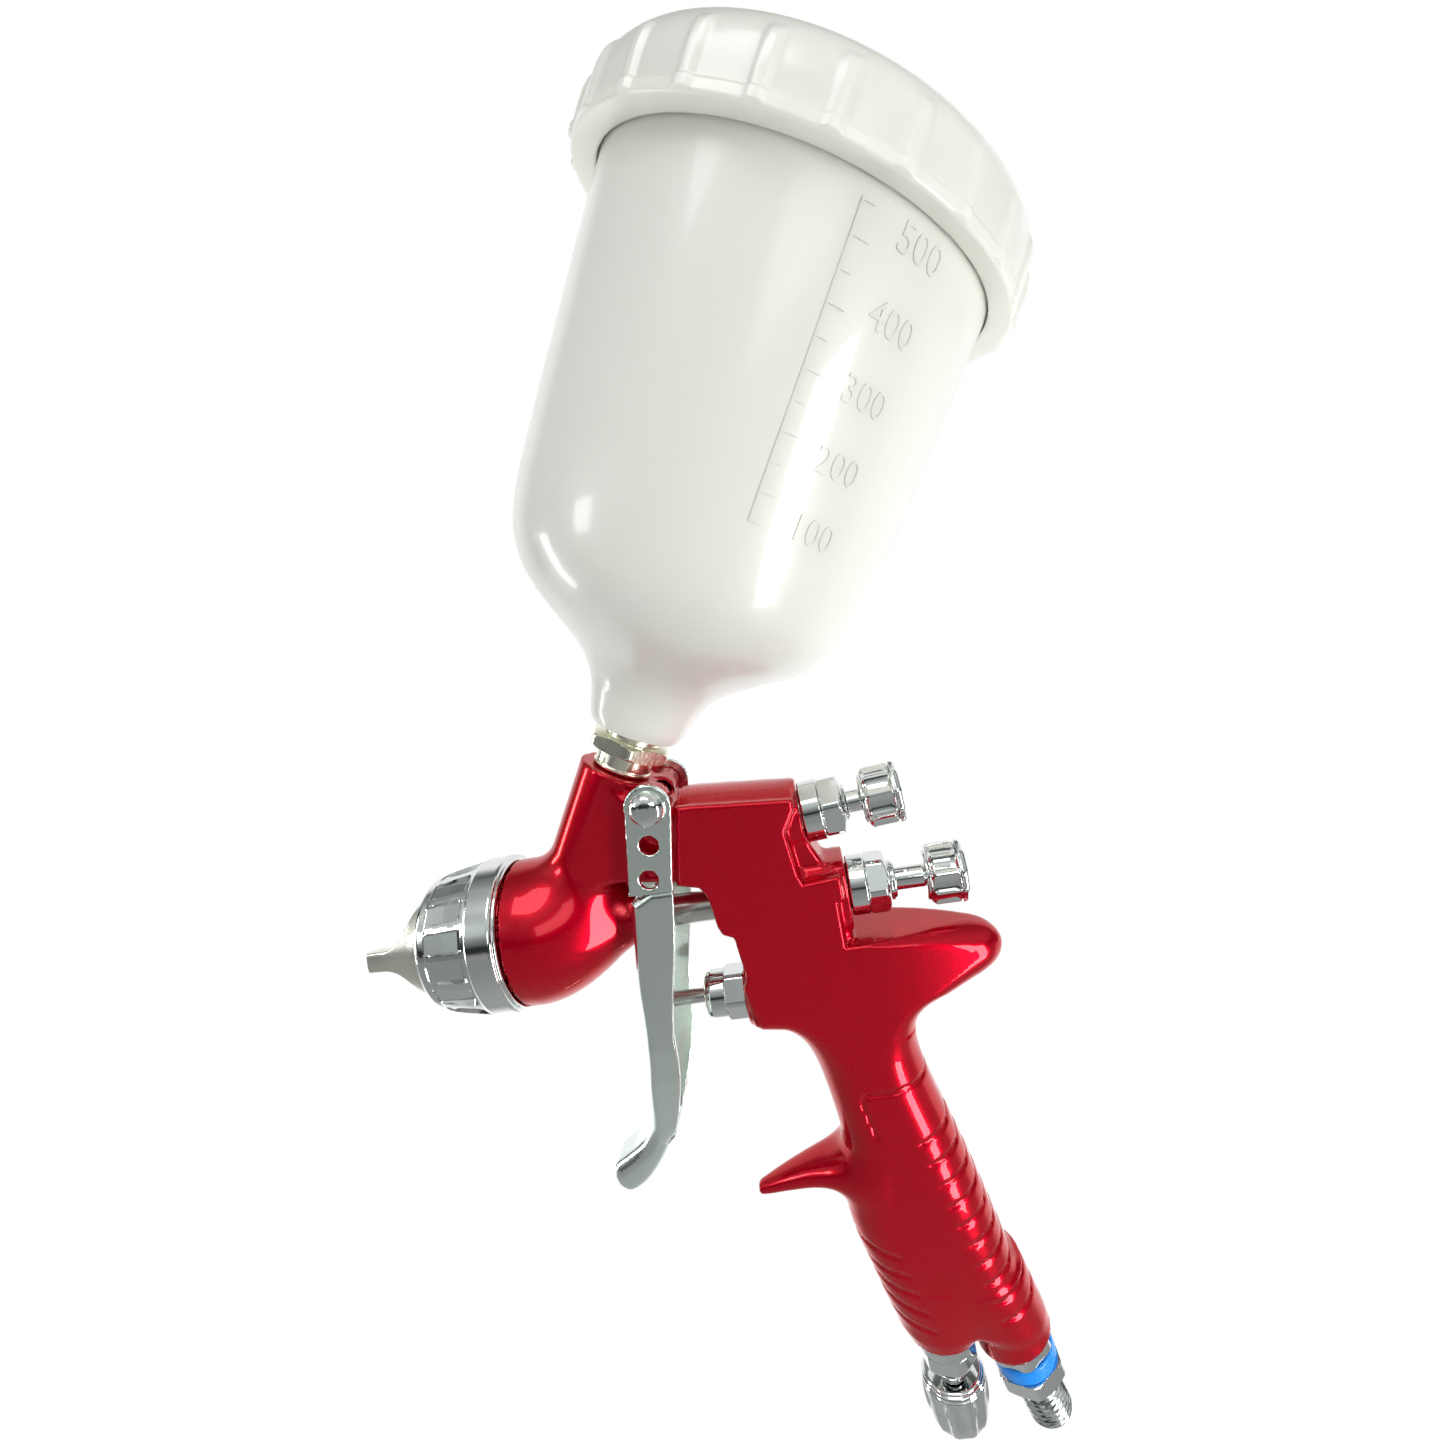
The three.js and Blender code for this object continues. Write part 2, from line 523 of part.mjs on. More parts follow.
piece('cup_body', cupBody(), white)
piece('cup_clamp_nut', hexagon(13.8, 13.2, 16.8, cupAxis, 5.9), nickel)
piece('paint_strainer', cut(
  turned([[0, 7], [3.8, 7], [3.8, 18], [5, 18], [5, 19.2], [0, 19.2]], cupAxis, 14),
  turned([[0, 8], [3, 8], [3, 21], [0, 21]], cupAxis, 14),
), white)

const LID = { rim: 126.4, top: 144, outer: 51.9, round: 10.6, wall: 2 }

function lidProfile(inset) {
  const points = [[LID.outer - inset, LID.rim]]
  const corner = LID.round - inset
  for (let i = 0; i <= 3; i++) {
    const angle = rad(30 * i)
    const r = LID.outer - LID.round + corner * Math.cos(angle)
    points.push([r, LID.top - LID.round + corner * Math.sin(angle)])
  }
  return points
}

function lid() {
  const outer = lidProfile(0)
  const inner = lidProfile(LID.wall)
  inner[0][1] = LID.rim + 3.4
  const shell = turned([
    [46.6, LID.rim], ...outer, [6, LID.top], [6, LID.top + 2.4], [0, LID.top + 2.4], [0, LID.top - LID.wall],
    ...inner.reverse(), [46.6, LID.rim + 3.4], [46.6, LID.rim],
  ], cupAxis, 24)
  return shell.subtract(rod(2.2, LID.top - 4, LID.top + 4, cupAxis, 14))
}

piece('cup_lid', lid(), white)
piece('lid_gasket', tube(45.6, 42.4, 137.7, 139.7, cupAxis, 24), black)
piece('drip_check_plug', turned([
  [0, 138.4], [1.9, 138.4], [1.9, 146.7], [4.6, 146.7], [4.6, 147.6], [3.4, 149.4], [0, 149.8],
], cupAxis, 16), white)

export default model
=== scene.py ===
# Looks of the gravity-feed spray gun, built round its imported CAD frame.
# Most sizes are millimetres in the gun's nozzle frame: the nozzle lies on the X axis and points to -X,
# +Z is up, and the gun is symmetric about Y = 0. ORIGIN is that frame's origin in the scene.
import json
import math

import bpy
import numpy as np
from mathutils import Matrix, Vector

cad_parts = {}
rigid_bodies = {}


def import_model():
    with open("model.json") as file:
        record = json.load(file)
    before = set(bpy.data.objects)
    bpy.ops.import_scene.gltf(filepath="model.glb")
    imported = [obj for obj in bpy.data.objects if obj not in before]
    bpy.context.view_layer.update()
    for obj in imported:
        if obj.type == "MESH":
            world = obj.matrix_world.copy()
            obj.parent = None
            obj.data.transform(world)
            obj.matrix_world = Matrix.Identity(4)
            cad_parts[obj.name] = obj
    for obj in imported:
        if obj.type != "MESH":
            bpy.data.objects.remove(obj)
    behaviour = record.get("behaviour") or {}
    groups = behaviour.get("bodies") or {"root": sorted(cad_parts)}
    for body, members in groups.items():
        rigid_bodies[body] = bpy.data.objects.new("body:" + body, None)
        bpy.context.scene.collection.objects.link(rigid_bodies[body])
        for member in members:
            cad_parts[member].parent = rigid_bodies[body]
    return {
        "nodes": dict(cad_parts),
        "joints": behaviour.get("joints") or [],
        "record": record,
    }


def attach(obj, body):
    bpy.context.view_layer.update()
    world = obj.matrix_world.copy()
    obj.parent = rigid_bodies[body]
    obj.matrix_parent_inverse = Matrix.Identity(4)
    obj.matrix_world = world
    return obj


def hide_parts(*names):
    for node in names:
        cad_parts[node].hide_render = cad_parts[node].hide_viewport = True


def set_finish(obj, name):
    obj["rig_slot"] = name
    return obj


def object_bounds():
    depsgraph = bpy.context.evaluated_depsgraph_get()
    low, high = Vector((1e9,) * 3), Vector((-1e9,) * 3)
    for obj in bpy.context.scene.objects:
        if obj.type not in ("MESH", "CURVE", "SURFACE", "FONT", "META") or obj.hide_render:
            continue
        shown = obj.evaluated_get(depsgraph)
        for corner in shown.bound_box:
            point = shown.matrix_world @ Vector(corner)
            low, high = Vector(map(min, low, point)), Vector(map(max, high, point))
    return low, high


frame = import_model()
CAD_BOX = [list(corner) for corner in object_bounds()]

MM = 0.001
JOINTS = {joint["name"]: joint for joint in frame["joints"]}
PIVOT_X, PIVOT_Z = -0.65, 33.2  # trigger pivot
ORIGIN = Vector(JOINTS["trigger_pull"]["pos_m"]) - Vector((PIVOT_X, 0, PIVOT_Z)) * MM


# ---- places
def place(x, z, way_x, way_z):
    """An axis in the middle plane: its origin, two directions across it and the direction along it."""
    along = np.array([way_x, 0, way_z], float)
    along /= np.linalg.norm(along)
    across = np.cross([0, 1, 0], along)
    return {"at": np.array([x, 0, z], float), "u": across, "v": np.array([0, 1.0, 0]), "w": along}


def tilted(x, z, degrees, up=True):
    lean = math.radians(degrees)
    return place(x, z, math.sin(lean), math.cos(lean) if up else -math.cos(lean))


CUP_TILT, FAN_TILT, FLOW_TILT, INLET_TILT = 30.2, 4.1, 2, 15
NOZZLE = place(0, 0, 1, 0)
VALVE = place(13, -26, -1, 0)
FAN = place(35.6, 21.8, math.cos(math.radians(FAN_TILT)), math.sin(math.radians(FAN_TILT)))
CUP = tilted(-9.03, 41.22, CUP_TILT)
FLOW = tilted(51.5, -139.9, FLOW_TILT, up=False)
INLET = tilted(71.7, -144.8, INLET_TILT, up=False)
BODY_HALF = 11.8  # half thickness of the body's flat sides
LEG_IN, LEG_OUT = 13.9, 15.6  # inner and outer faces of the trigger's legs


def local(points, axis):
    """Distance along an axis, and distance from it."""
    rel = points - axis["at"]
    along = rel @ axis["w"]
    across = np.sqrt(np.maximum((rel**2).sum(-1) - along**2, 0))
    return along, across


# ---- meshes
def make_mesh(name, points_mm, faces, body, slot, replaces=(), normals=None, sharp=None):
    mesh = bpy.data.meshes.new(name)
    points = np.asarray(points_mm, float) * MM + np.array(ORIGIN)
    mesh.from_pydata(points.tolist(), [], faces)
    mesh.validate()
    mesh.polygons.foreach_set("use_smooth", [True] * len(mesh.polygons))
    if sharp:
        mesh.set_sharp_from_angle(angle=math.radians(sharp))
    if normals is not None:
        mesh.normals_split_custom_set_from_vertices(normals)
    mesh.update()
    piece = bpy.data.objects.new(name, mesh)
    bpy.context.scene.collection.objects.link(piece)
    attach(piece, body)
    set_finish(piece, slot)
    if replaces:
        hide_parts(*replaces)
    return piece


def smooth_line(points, steps=10):
    """Catmull-Rom curve through points."""
    p = np.array(points, float)
    p = np.vstack([2 * p[0] - p[1], p, 2 * p[-1] - p[-2]])
    out = []
    for i in range(1, len(p) - 2):
        for t in np.linspace(0, 1, steps, endpoint=False):
            a, b, c, d = p[i - 1 : i + 3]
            squared = (2 * a - 5 * b + 4 * c - d) * t**2
            cubed = (3 * b - a - 3 * c + d) * t**3
            out.append(0.5 * (2 * b + (c - a) * t + squared + cubed))
    out.append(p[-2])
    return np.array(out)


def eased(points, radius=0.3, steps=3):
    """An open outline with each corner rounded, and a support point on both sides of the round."""
    pts = [np.array(p[:2], float) for p in points]
    radii = [p[2] if len(p) > 2 else radius for p in points]
    out = [pts[0]]
    for i in range(1, len(pts) - 1):
        back, ahead = pts[i - 1] - pts[i], pts[i + 1] - pts[i]
        lb, la = np.linalg.norm(back), np.linalg.norm(ahead)
        reach = min(radii[i], 0.42 * lb, 0.42 * la)
        if reach < 0.02:
            out.append(pts[i])
            continue
        start, end = pts[i] + back / lb * reach, pts[i] + ahead / la * reach
        out.append(pts[i] + back / lb * reach * 1.12)
        for t in np.linspace(0, 1, steps + 1):
            out.append((1 - t) ** 2 * start + 2 * t * (1 - t) * pts[i] + t**2 * end)
        out.append(pts[i] + ahead / la * reach * 1.12)
    out.append(pts[-1])
    return np.array(out)


def divided(outline, most):
    """The outline with no stretch longer than most."""
    out = [outline[0]]
    for a, b in zip(outline[:-1], outline[1:]):
        count = max(1, math.ceil(np.linalg.norm(b - a) / most))
        out.extend(a + (b - a) * k / count for k in range(1, count + 1))
    return np.array(out)


def lathe(outline, axis, sides, shape=None):
    """Points and faces of a (radius, distance) outline turned round axis. shape may change the radius."""
    closed = np.allclose(outline[0], outline[-1])
    rows = outline[:-1] if closed else outline
    angle = np.linspace(0, 2 * np.pi, sides, endpoint=False)
    radius = np.repeat(rows[:, :1], sides, 1)
    along = np.repeat(rows[:, 1:], sides, 1)
    if shape is not None:
        radius = shape(np.broadcast_to(angle, radius.shape), radius, along)
    xyz = (
        axis["at"]
        + (radius * np.cos(angle))[..., None] * axis["u"]
        + (radius * np.sin(angle))[..., None] * axis["v"]
        + along[..., None] * axis["w"]
    )
    poles = {0: not closed and rows[0][0] < 1e-6, len(rows) - 1: not closed and rows[-1][0] < 1e-6}
    first, points = [], []
    for i in range(len(rows)):
        first.append(len(points))
        points.extend(xyz[i][:1] if poles.get(i) else xyz[i])
    faces = []
    spans = range(len(rows)) if closed else range(len(rows) - 1)
    for i in spans:
        j = (i + 1) % len(rows)
        for k in range(sides):
            m = (k + 1) % sides
            a, b = (first[i], first[i]) if poles.get(i) else (first[i] + k, first[i] + m)
            c, d = (first[j], first[j]) if poles.get(j) else (first[j] + k, first[j] + m)
            faces.append(tuple(dict.fromkeys((a, b, d, c))))
    return points, faces


def faces_outward(outline, faces):
    """The faces of a turned outline, reversed where the outline runs the other way round."""
    after = np.roll(outline, -1, axis=0)
    area = (outline[:, 0] * after[:, 1] - after[:, 0] * outline[:, 1]).sum()
    return [face[::-1] for face in faces] if area < 0 else faces


def turned(
    name, outline, axis, body, slot, replaces=(), sides=96, shape=None, most=None, ease=0.3, sharp=40
):
    """A piece turned round axis from an outline of (radius, distance, corner radius)."""
    line = eased(outline, ease)
    if most:
        line = divided(line, most)
    points, faces = lathe(line, axis, sides, shape)
    return make_mesh(name, points, faces_outward(line, faces), body, slot, replaces, sharp=sharp)


def hex_corner(across_flats):
    """Distance from a hexagon's middle to its corners."""
    return across_flats / 2 / math.cos(math.pi / 6)


def hexed(across_flats, start, end, corner=0.35, phase=0.0):
    """Flats between start and end, turned by phase degrees: the corners are eased by corner millimetres."""
    tip = hex_corner(across_flats) - corner

    def shape(angle, radius, along):
        angle = angle - math.radians(phase)
        fold = (angle + math.pi / 6) % (math.pi / 3) - math.pi / 6
        flat = np.minimum(across_flats / 2 / np.cos(fold), tip)
        inside = (along >= start) & (along <= end)
        return np.where(inside, np.minimum(radius, flat), radius)

    return shape


def fluted(count, depth, start, end, width=0.8, run_out=0.6):
    """Hollow flutes cut into a lathe between start and end, with narrow lands between them."""

    def shape(angle, radius, along):
        turn = (angle * count / (2 * np.pi)) % 1.0 - 0.5
        hollow = np.clip(1 - (np.abs(turn) / (width / 2)) ** 2, 0, 1) ** 0.8
        ends = np.clip((along - start) / run_out, 0, 1) * np.clip((end - along) / run_out, 0, 1)
        return radius - depth * hollow * np.sqrt(ends)

    return shape


# ---- distance fields
def outline_distance(x, z, points):
    """Signed distance to a closed outline in a plane, negative inside."""
    p = np.array(points, float)
    best = np.full(x.shape, 1e9)
    inside = np.zeros(x.shape, bool)
    for (ax, az), (bx, bz) in zip(p, np.roll(p, -1, axis=0)):
        ex, ez = bx - ax, bz - az
        wx, wz = x - ax, z - az
        t = np.clip((wx * ex + wz * ez) / (ex * ex + ez * ez), 0, 1)
        best = np.minimum(best, (wx - t * ex) ** 2 + (wz - t * ez) ** 2)
        crosses = (az <= z) != (bz <= z)
        if az != bz:
            inside ^= crosses & (x < ax + (z - az) * ex / ez)
    return np.where(inside, -1, 1) * np.sqrt(best)


def both(a, b, ease=0.0):
    """Where both fields are inside, with the edge eased."""
    if not ease:
        return np.maximum(a, b)
    h = np.clip(0.5 - 0.5 * (a - b) / ease, 0, 1)
    return a + (b - a) * h + ease * h * (1 - h)


def either(a, b, ease=0.0):
    """Where either field is inside, with a fillet."""
    return -both(-a, -b, ease)


def without(a, b, ease=0.0):
    return both(a, -b, ease)


def rounded_both(a, b, radius):
    """Where both fields are inside, with the edge between them rounded to radius."""
    a, b = a + radius, b + radius
    return np.hypot(np.maximum(a, 0), np.maximum(b, 0)) + np.minimum(np.maximum(a, b), 0) - radius


def slab(x, z, y, points, half, ease):
    """An outline in X and Z thickened to half on each side, with rounded edges."""
    return rounded_both(outline_distance(x, z, points), np.abs(y) - half, ease)


def bar(points, axis, radius, start, end, ease=0.0):
    along, across = local(points, axis)
    return both(across - radius, np.abs(along - (start + end) / 2) - (end - start) / 2, ease)


BLOCK = 10  # grid points along each side of a block


def lattice(ways):
    return np.stack(np.meshgrid(*ways, indexing="ij"), -1).reshape(-1, 3)


def grid_values(field, low, size, step):
    """The field on a grid. Blocks that lie far from the surface take the value at their middle."""
    counts = [n // BLOCK for n in size]
    corner = lattice([np.arange(n) * BLOCK for n in counts])
    middle = field(low + (corner + (BLOCK - 1) / 2) * step)
    value = np.empty(size)
    inner = lattice([np.arange(BLOCK)] * 3)
    near = np.abs(middle) < 1.5 * BLOCK * step

    def block_at(start):
        return tuple(slice(k, k + BLOCK) for k in start)

    for at, far in zip(corner[~near], middle[~near]):
        value[block_at(at)] = far
    places = corner[near]
    for start in range(0, len(places), 200):
        part = places[start : start + 200]
        found = field(low + (part[:, None] + inner[None]).reshape(-1, 3) * step)
        for at, block in zip(part, found.reshape(-1, BLOCK, BLOCK, BLOCK)):
            value[block_at(at)] = block
    return value


def surface_nets(field, low, high, step):
    """Quads on the zero surface of field, one vertex for each grid cell that the surface crosses."""
    size = [math.ceil((b - a) / step / BLOCK) * BLOCK for a, b in zip(low, high)]
    value = grid_values(field, np.array(low, float), size, step)
    inside = value < 0
    cells = np.array(inside.shape) - 1
    total = np.zeros((cells.prod(), 3))
    count = np.zeros(cells.prod())
    quads = []
    for a in range(3):
        b, c = (a + 1) % 3, (a + 2) % 3
        lower = [slice(None)] * 3
        upper = [slice(None)] * 3
        lower[a], upper[a] = slice(0, -1), slice(1, None)
        change = inside[tuple(lower)] != inside[tuple(upper)]
        at = np.argwhere(change)
        at = at[(at[:, b] > 0) & (at[:, b] < cells[b]) & (at[:, c] > 0) & (at[:, c] < cells[c])]
        one = value[tuple(at.T)]
        step_up = at.copy()
        step_up[:, a] += 1
        two = value[tuple(step_up.T)]
        spot = np.array(low) + at * step
        spot[:, a] += step * one / (one - two)
        ring = []
        for db, dc in ((-1, -1), (0, -1), (0, 0), (-1, 0)):
            cell = at.copy()
            cell[:, b] += db
            cell[:, c] += dc
            ids = (cell[:, 0] * cells[1] + cell[:, 1]) * cells[2] + cell[:, 2]
            ring.append(ids)
            for d in range(3):
                total[:, d] += np.bincount(ids, spot[:, d], len(total))
            count += np.bincount(ids, minlength=len(count))
        quad = np.stack(ring, -1)
        flip = one > 0
        quad[flip] = quad[flip][:, ::-1]
        quads.append(quad)
    used = np.flatnonzero(count)
    rename = np.full(len(count), -1)
    rename[used] = np.arange(len(used))
    return total[used] / count[used, None], rename[np.vstack(quads)]


def slope(field, points, reach=0.04):
    """Gradient of field at points."""
    out = np.empty_like(points)
    for d in range(3):
        step = np.zeros(3)
        step[d] = reach
        out[:, d] = (field(points + step) - field(points - step)) / (2 * reach)
    return out


def carved(name, field, low, high, step, body, slot, replaces=(), rounds=3):
    """A mesh of the field's zero surface, drawn onto it exactly, with the field's own normals."""
    points, quads = surface_nets(field, low, high, step)
    for _ in range(rounds):
        grad = slope(field, points)
        move = field(points)[:, None] * grad / np.maximum((grad**2).sum(1), 0.2)[:, None]
        length = np.linalg.norm(move, axis=1, keepdims=True)
        points = points - move * np.minimum(1, 0.5 * step / np.maximum(length, 1e-9))
    normals = slope(field, points, 0.12)
    normals /= np.maximum(np.linalg.norm(normals, axis=1, keepdims=True), 1e-9)
    return make_mesh(name, points, quads.tolist(), body, slot, replaces, normals=normals)


# ---- red body
HEAD_LINE = smooth_line([
    (-46, 19.9), (-43, 19.9), (-39, 19.75), (-34, 18.6), (-28.3, 16.1), (-22.8, 12.7), (-18.5, 9.6),
    (-14, 7),
])
# side view of the deck's flat side, the handle and the horn behind it
DECK_CORNERS = [
    (4.4, 27.6), (4.9, 29.6), (6.2, 30.9), (8.5, 31.2), (34.3, 28.6), (33.2, 25), (31.0, 21.5),
    (32.5, 9.6), (33.5, 6.7), (42.9, 7.4), (43.0, 1.2), (41.3, 0.3), (41.5, -11.8),
]
HORN_BACK = [
    (44, -11.8), (52, -11.9), (62, -12.2), (71.4, -13.1), (77.5, -14.6), (80.9, -17.2), (82.2, -20.6),
    (80.6, -24.8), (75.9, -27.8), (69.2, -30), (64, -31.7), (59.8, -33.9), (57.2, -37.6), (56.4, -43.8),
    (57.4, -52), (59.3, -60), (63, -73), (66.8, -87), (70, -100), (73.2, -113), (76.6, -126),
    (79.6, -136), (83, -149),
]
FRONT_UP = [
    (42, -149), (39, -136), (36.4, -126), (33.6, -113), (30.6, -100), (29.8, -87), (31.8, -73), (30.6, -60),
    (28.4, -48), (25.8, -39.8), (22.6, -35.6), (19, -34.6), (15.6, -34),
]
VALVE_FRONT = [
    (13.6, -32), (13.4, -20), (14.8, -16.4), (13.9, -8.6), (13.6, -5.2), (10.8, -3.9), (9.9, -1.6),
    (8.9, 6.9), (7.3, 9.5), (1.6, 11),
]
SIDE_OUTLINE = [
    *DECK_CORNERS, *smooth_line(HORN_BACK, 4).tolist(), *smooth_line(FRONT_UP, 4).tolist(), *VALVE_FRONT
]
HANDLE_END = -137
# heights and half thickness of the flat middle and handle, and half thickness along the horn
HANDLE_HALF = smooth_line([
    (-145, 10.2), (-136, 11), (-126, 12.4), (-113, 13.2), (-100, 13.4), (-87, 13.4), (-73, 13), (-60, 12.5),
    (-46, 11.9), (-30, 11.8), (40, 11.8),
])
HORN_HALF = smooth_line([(30, 11.9), (48, 11.8), (56, 11.2), (64.8, 9.9), (74, 8.2), (80, 6.8), (86, 5)])
GUARD_LINE = smooth_line([
    (4, -87.9, -90.3, 1.6), (7.6, -86, -90.2, 2.7), (14, -82.9, -89, 4.3), (21.6, -79.8, -87.9, 6.2),
    (30, -77.2, -88, 9), (38, -75, -89.5, 10.5),
])


def read_line(line, at, column):
    return np.interp(at, line[:, 0], line[:, column])


def rounded_section(dx, dy, half_x, half_y, power):
    """Signed distance, near enough, to a section between an ellipse and a box."""
    reach = np.hypot(dx, dy) + 1e-9
    share = (np.abs(dx / half_x) ** power + np.abs(dy / half_y) ** power) ** (1 / power) + 1e-9
    return reach - reach / share


def head_field(p):
    radius = np.hypot(p[:, 1], p[:, 2])
    d = (radius - read_line(HEAD_LINE, p[:, 0], 1)) * 0.86
    return both(both(d, -44.2 - p[:, 0], 0.5), p[:, 0] + 9, 3)


def core_field(x, y, z):
    """Thinner middle between the cup's neck and the rear bosses."""
    return slab(x, z, y, [
        (-21, 14), (1.2, 11.4), (6.2, 10.6), (9.4, 5.7), (10.8, -2.6), (14.4, -5), (16, -20), (30, -20),
        (30, 20), (20, 27.4), (6, 29.4), (2, 32.4), (-4, 34.4), (-9, 36.4),
    ], BODY_HALF - 1.1, 2.2)


def side_field(x, y, z):
    """Flat-sided middle, handle and horn, with edges that round off more and more down the handle."""
    horn = 1 - np.clip((-40 - z) / 8, 0, 1)
    half = read_line(HANDLE_HALF, z, 1)
    half = np.minimum(half, read_line(HORN_HALF, x, 1) + 9 * (1 - horn))
    down = np.clip((-15 - z) / 36, 0, 1)
    radius = 0.9 + 10.2 * down * down * (3 - 2 * down)
    out = np.clip((x - 47) / 26, 0, 1) * horn
    radius = np.minimum(np.maximum(radius, 0.9 + 5.6 * out), 0.96 * half)
    d = rounded_both(outline_distance(x, z, SIDE_OUTLINE), np.abs(y) - half, radius)
    return both(d, HANDLE_END - z, 3)


def deck_field(x, y, z):
    """Gently arched deck that rises from the top edges of the flat sides."""
    edge = 31.3 - 0.09 * (x - 6.4)
    top = edge + 2.1 - 2.0 * np.minimum(np.abs(y) / 9.5, 1) ** 2
    block = slab(x, z, y, [(5.2, 20), (4.6, 40), (34.8, 40), (34.4, 26), (31, 20)], BODY_HALF, 1.2)
    return both(block, (z - top) * 0.93, 1.0)


def web_field(x, y, z):
    """Thinner webs that join the two rear bosses and run down to the horn."""
    upper = slab(x, z, y, [(28, 25), (34.4, 22), (36.6, 15.2), (40, 8), (40, -8), (28, -8)], 6.8, 1.5)
    lower = slab(x, z, y, [(38, 2), (43.6, -2), (43.8, -16), (38, -20)], 8.4, 1.6)
    return np.minimum(upper, lower)


def guard_field(x, y, z):
    top, bottom, half = (read_line(GUARD_LINE, x, k) for k in (1, 2, 3))
    d = rounded_section(z - (top + bottom) / 2, y, (top - bottom) / 2, half, 2.2)
    return both(both(d * 0.9, 4.9 - x, 1), x - 38, 1)


def nearest_groove(x, z, first, step, count, way):
    """Distance along and across the nearest of a row of straight grooves, measured from their starts."""
    way = np.array(way, float) / np.hypot(*way)
    across = np.array([-way[1], way[0]])
    pitch = np.dot(step, across)
    offset = (x - first[0]) * across[0] + (z - first[1]) * across[1]
    number = np.clip(np.round(offset / pitch), 0, count - 1)
    dx, dz = x - first[0] - number * step[0], z - first[1] - number * step[1]
    return dx * way[0] + dz * way[1], dx * across[0] + dz * across[1]


def rod_line(x, z, a, b):
    """Distance in the side view to the straight line from a to b."""
    ex, ez = b[0] - a[0], b[1] - a[1]
    t = np.clip(((x - a[0]) * ex + (z - a[1]) * ez) / (ex * ex + ez * ez), 0, 1)
    return np.hypot(x - a[0] - t * ex, z - a[1] - t * ez)


GRIP_BRACKET = [(41.3, -66.5), (38.9, -57), (39.2, -54.9), (41, -54.1), (60, -53.4)]
RIB_FIRST, RIB_STEP, RIB_COUNT = (51.5, -69.9), (1.69, -6.53), 10
RIB_WAY = (8, 1.6)
FINGER_STARTS = [(35.9, -101.7), (38.0, -108.8), (38.9, -114.6), (40.0, -120.7), (41.6, -127.9)]
FINGER_ENDS = [(41.7, -103.7), (43.3, -109.9), (45.0, -116.4), (46.7, -123.3), (48.1, -130.2)]


def grip_marks(x, z):
    """How far the handle's skin is drawn in: a bracket line, rib grooves and finger grooves."""
    line = np.full(x.shape, 1e9)
    for a, b in zip(GRIP_BRACKET[:-1], GRIP_BRACKET[1:]):
        line = np.minimum(line, rod_line(x, z, a, b))
    depth = 0.6 * np.exp(-((line / 0.6) ** 2))
    along, across = nearest_groove(x, z, RIB_FIRST, RIB_STEP, RIB_COUNT, RIB_WAY)
    start = np.clip((along + 0.5) / 1.6, 0, 1)
    groove = np.exp(-((across / 0.75) ** 2))
    depth += (0.3 + 0.35 * np.clip(along / 8, 0, 1)) * groove * start
    for a, b in zip(FINGER_STARTS, FINGER_ENDS):
        reach = rod_line(x, z, (a[0] * 2 - b[0], a[1] * 2 - b[1]), b)
        depth += 0.45 * np.exp(-((reach / 0.8) ** 2))
    return depth


def body_field(points):
    p = points.copy()
    p[:, 1] = np.abs(p[:, 1])
    x, y, z = p.T
    neck = bar(p, CUP, 10.8, -40, 0, 0.5)
    d = either(head_field(p), neck, 7)
    d = either(d, core_field(x, y, z), 4)
    d = either(d, either(side_field(x, y, z), deck_field(x, y, z), 0.5), 1.4)
    fan_boss = bar(p, FAN, 8.9, -14, 0, 0.4)
    needle_boss = both(rounded_section(z, y, 9.3, 9.3, 4.5) * 0.95, np.abs(x - 35.2) - 9.1, 0.5)
    d = either(d, web_field(x, y, z), 1.2)
    d = either(d, fan_boss, 1.2)
    d = either(d, needle_boss, 1.4)
    d = either(d, bar(p, VALVE, 9.2, -22, 0, 0.5), 1.5)
    d = either(d, guard_field(x, y, z), 6)
    bosses = np.minimum(bar(p, FLOW, 11.2, -20, 0, 0.5), bar(p, INLET, 11.2, -24, 0, 0.5))
    d = either(d, bosses, 3.5)
    pad = both(np.hypot(x - PIVOT_X, z - PIVOT_Z) - 3.7, np.abs(y - 8) - 5.2, 0.3)
    d = either(d, pad, 0.8)
    near = (z < -48) & (z > -134) & (np.abs(d) < 2.5) & (x > 25)
    if near.any():
        d[near] += grip_marks(x[near], z[near])
    thread = both(np.hypot(y, z) - 18.1, np.abs(x + 48) - 7.5, 0.5)
    d = np.minimum(d, thread)
    holes = np.minimum.reduce([
        both(np.hypot(y, z) - 12.6, x + 45.2),
        np.hypot(y, z) - 2.5 - 2.2 * (x > 3) - 1.7 * (x > 30),
        bar(p, FLOW, 9.1, 0, 20),
        bar(p, CUP, 6.6, -11, 8),
        bar(p, VALVE, 5.2, -36, 6),
        bar(p, FAN, 5.2, -16, 6),
        bar(p, FLOW, 5.2, -18, 6),
        bar(p, INLET, 5.2, -13, 6),
        np.hypot(x - PIVOT_X, z - PIVOT_Z) - 2.6,
    ])
    return both(d, -holes, 0.35)


def make_body():
    low, high = (-57.3, -22.4, -164), (86, 22.4, 49.5)
    carved("body_casting", body_field, low, high, 0.9, "gun", "red_paint", ["gun_body"])


# ---- spray head
HORN_TIP = -86
HORN_SIDE = smooth_line([
    (-86, 2.7), (-80.5, 2.8), (-78.2, 3.3), (-76.2, 4.4), (-74.4, 6.4), (-73, 8.8), (-71.8, 11.5),
    (-70, 14), (-67, 15),
])
CAP_TURN = math.radians(8.5)
HORN_OUTER = smooth_line([(-87, 11.1), (-82, 11.6), (-78, 12.4), (-74, 13.5), (-70.5, 14.4), (-66, 14.6)])
HORN_INNER = smooth_line([(-87, 7.6), (-82, 7.3), (-76, 6.8), (-73, 5.6), (-71.5, 4), (-66, 2)])


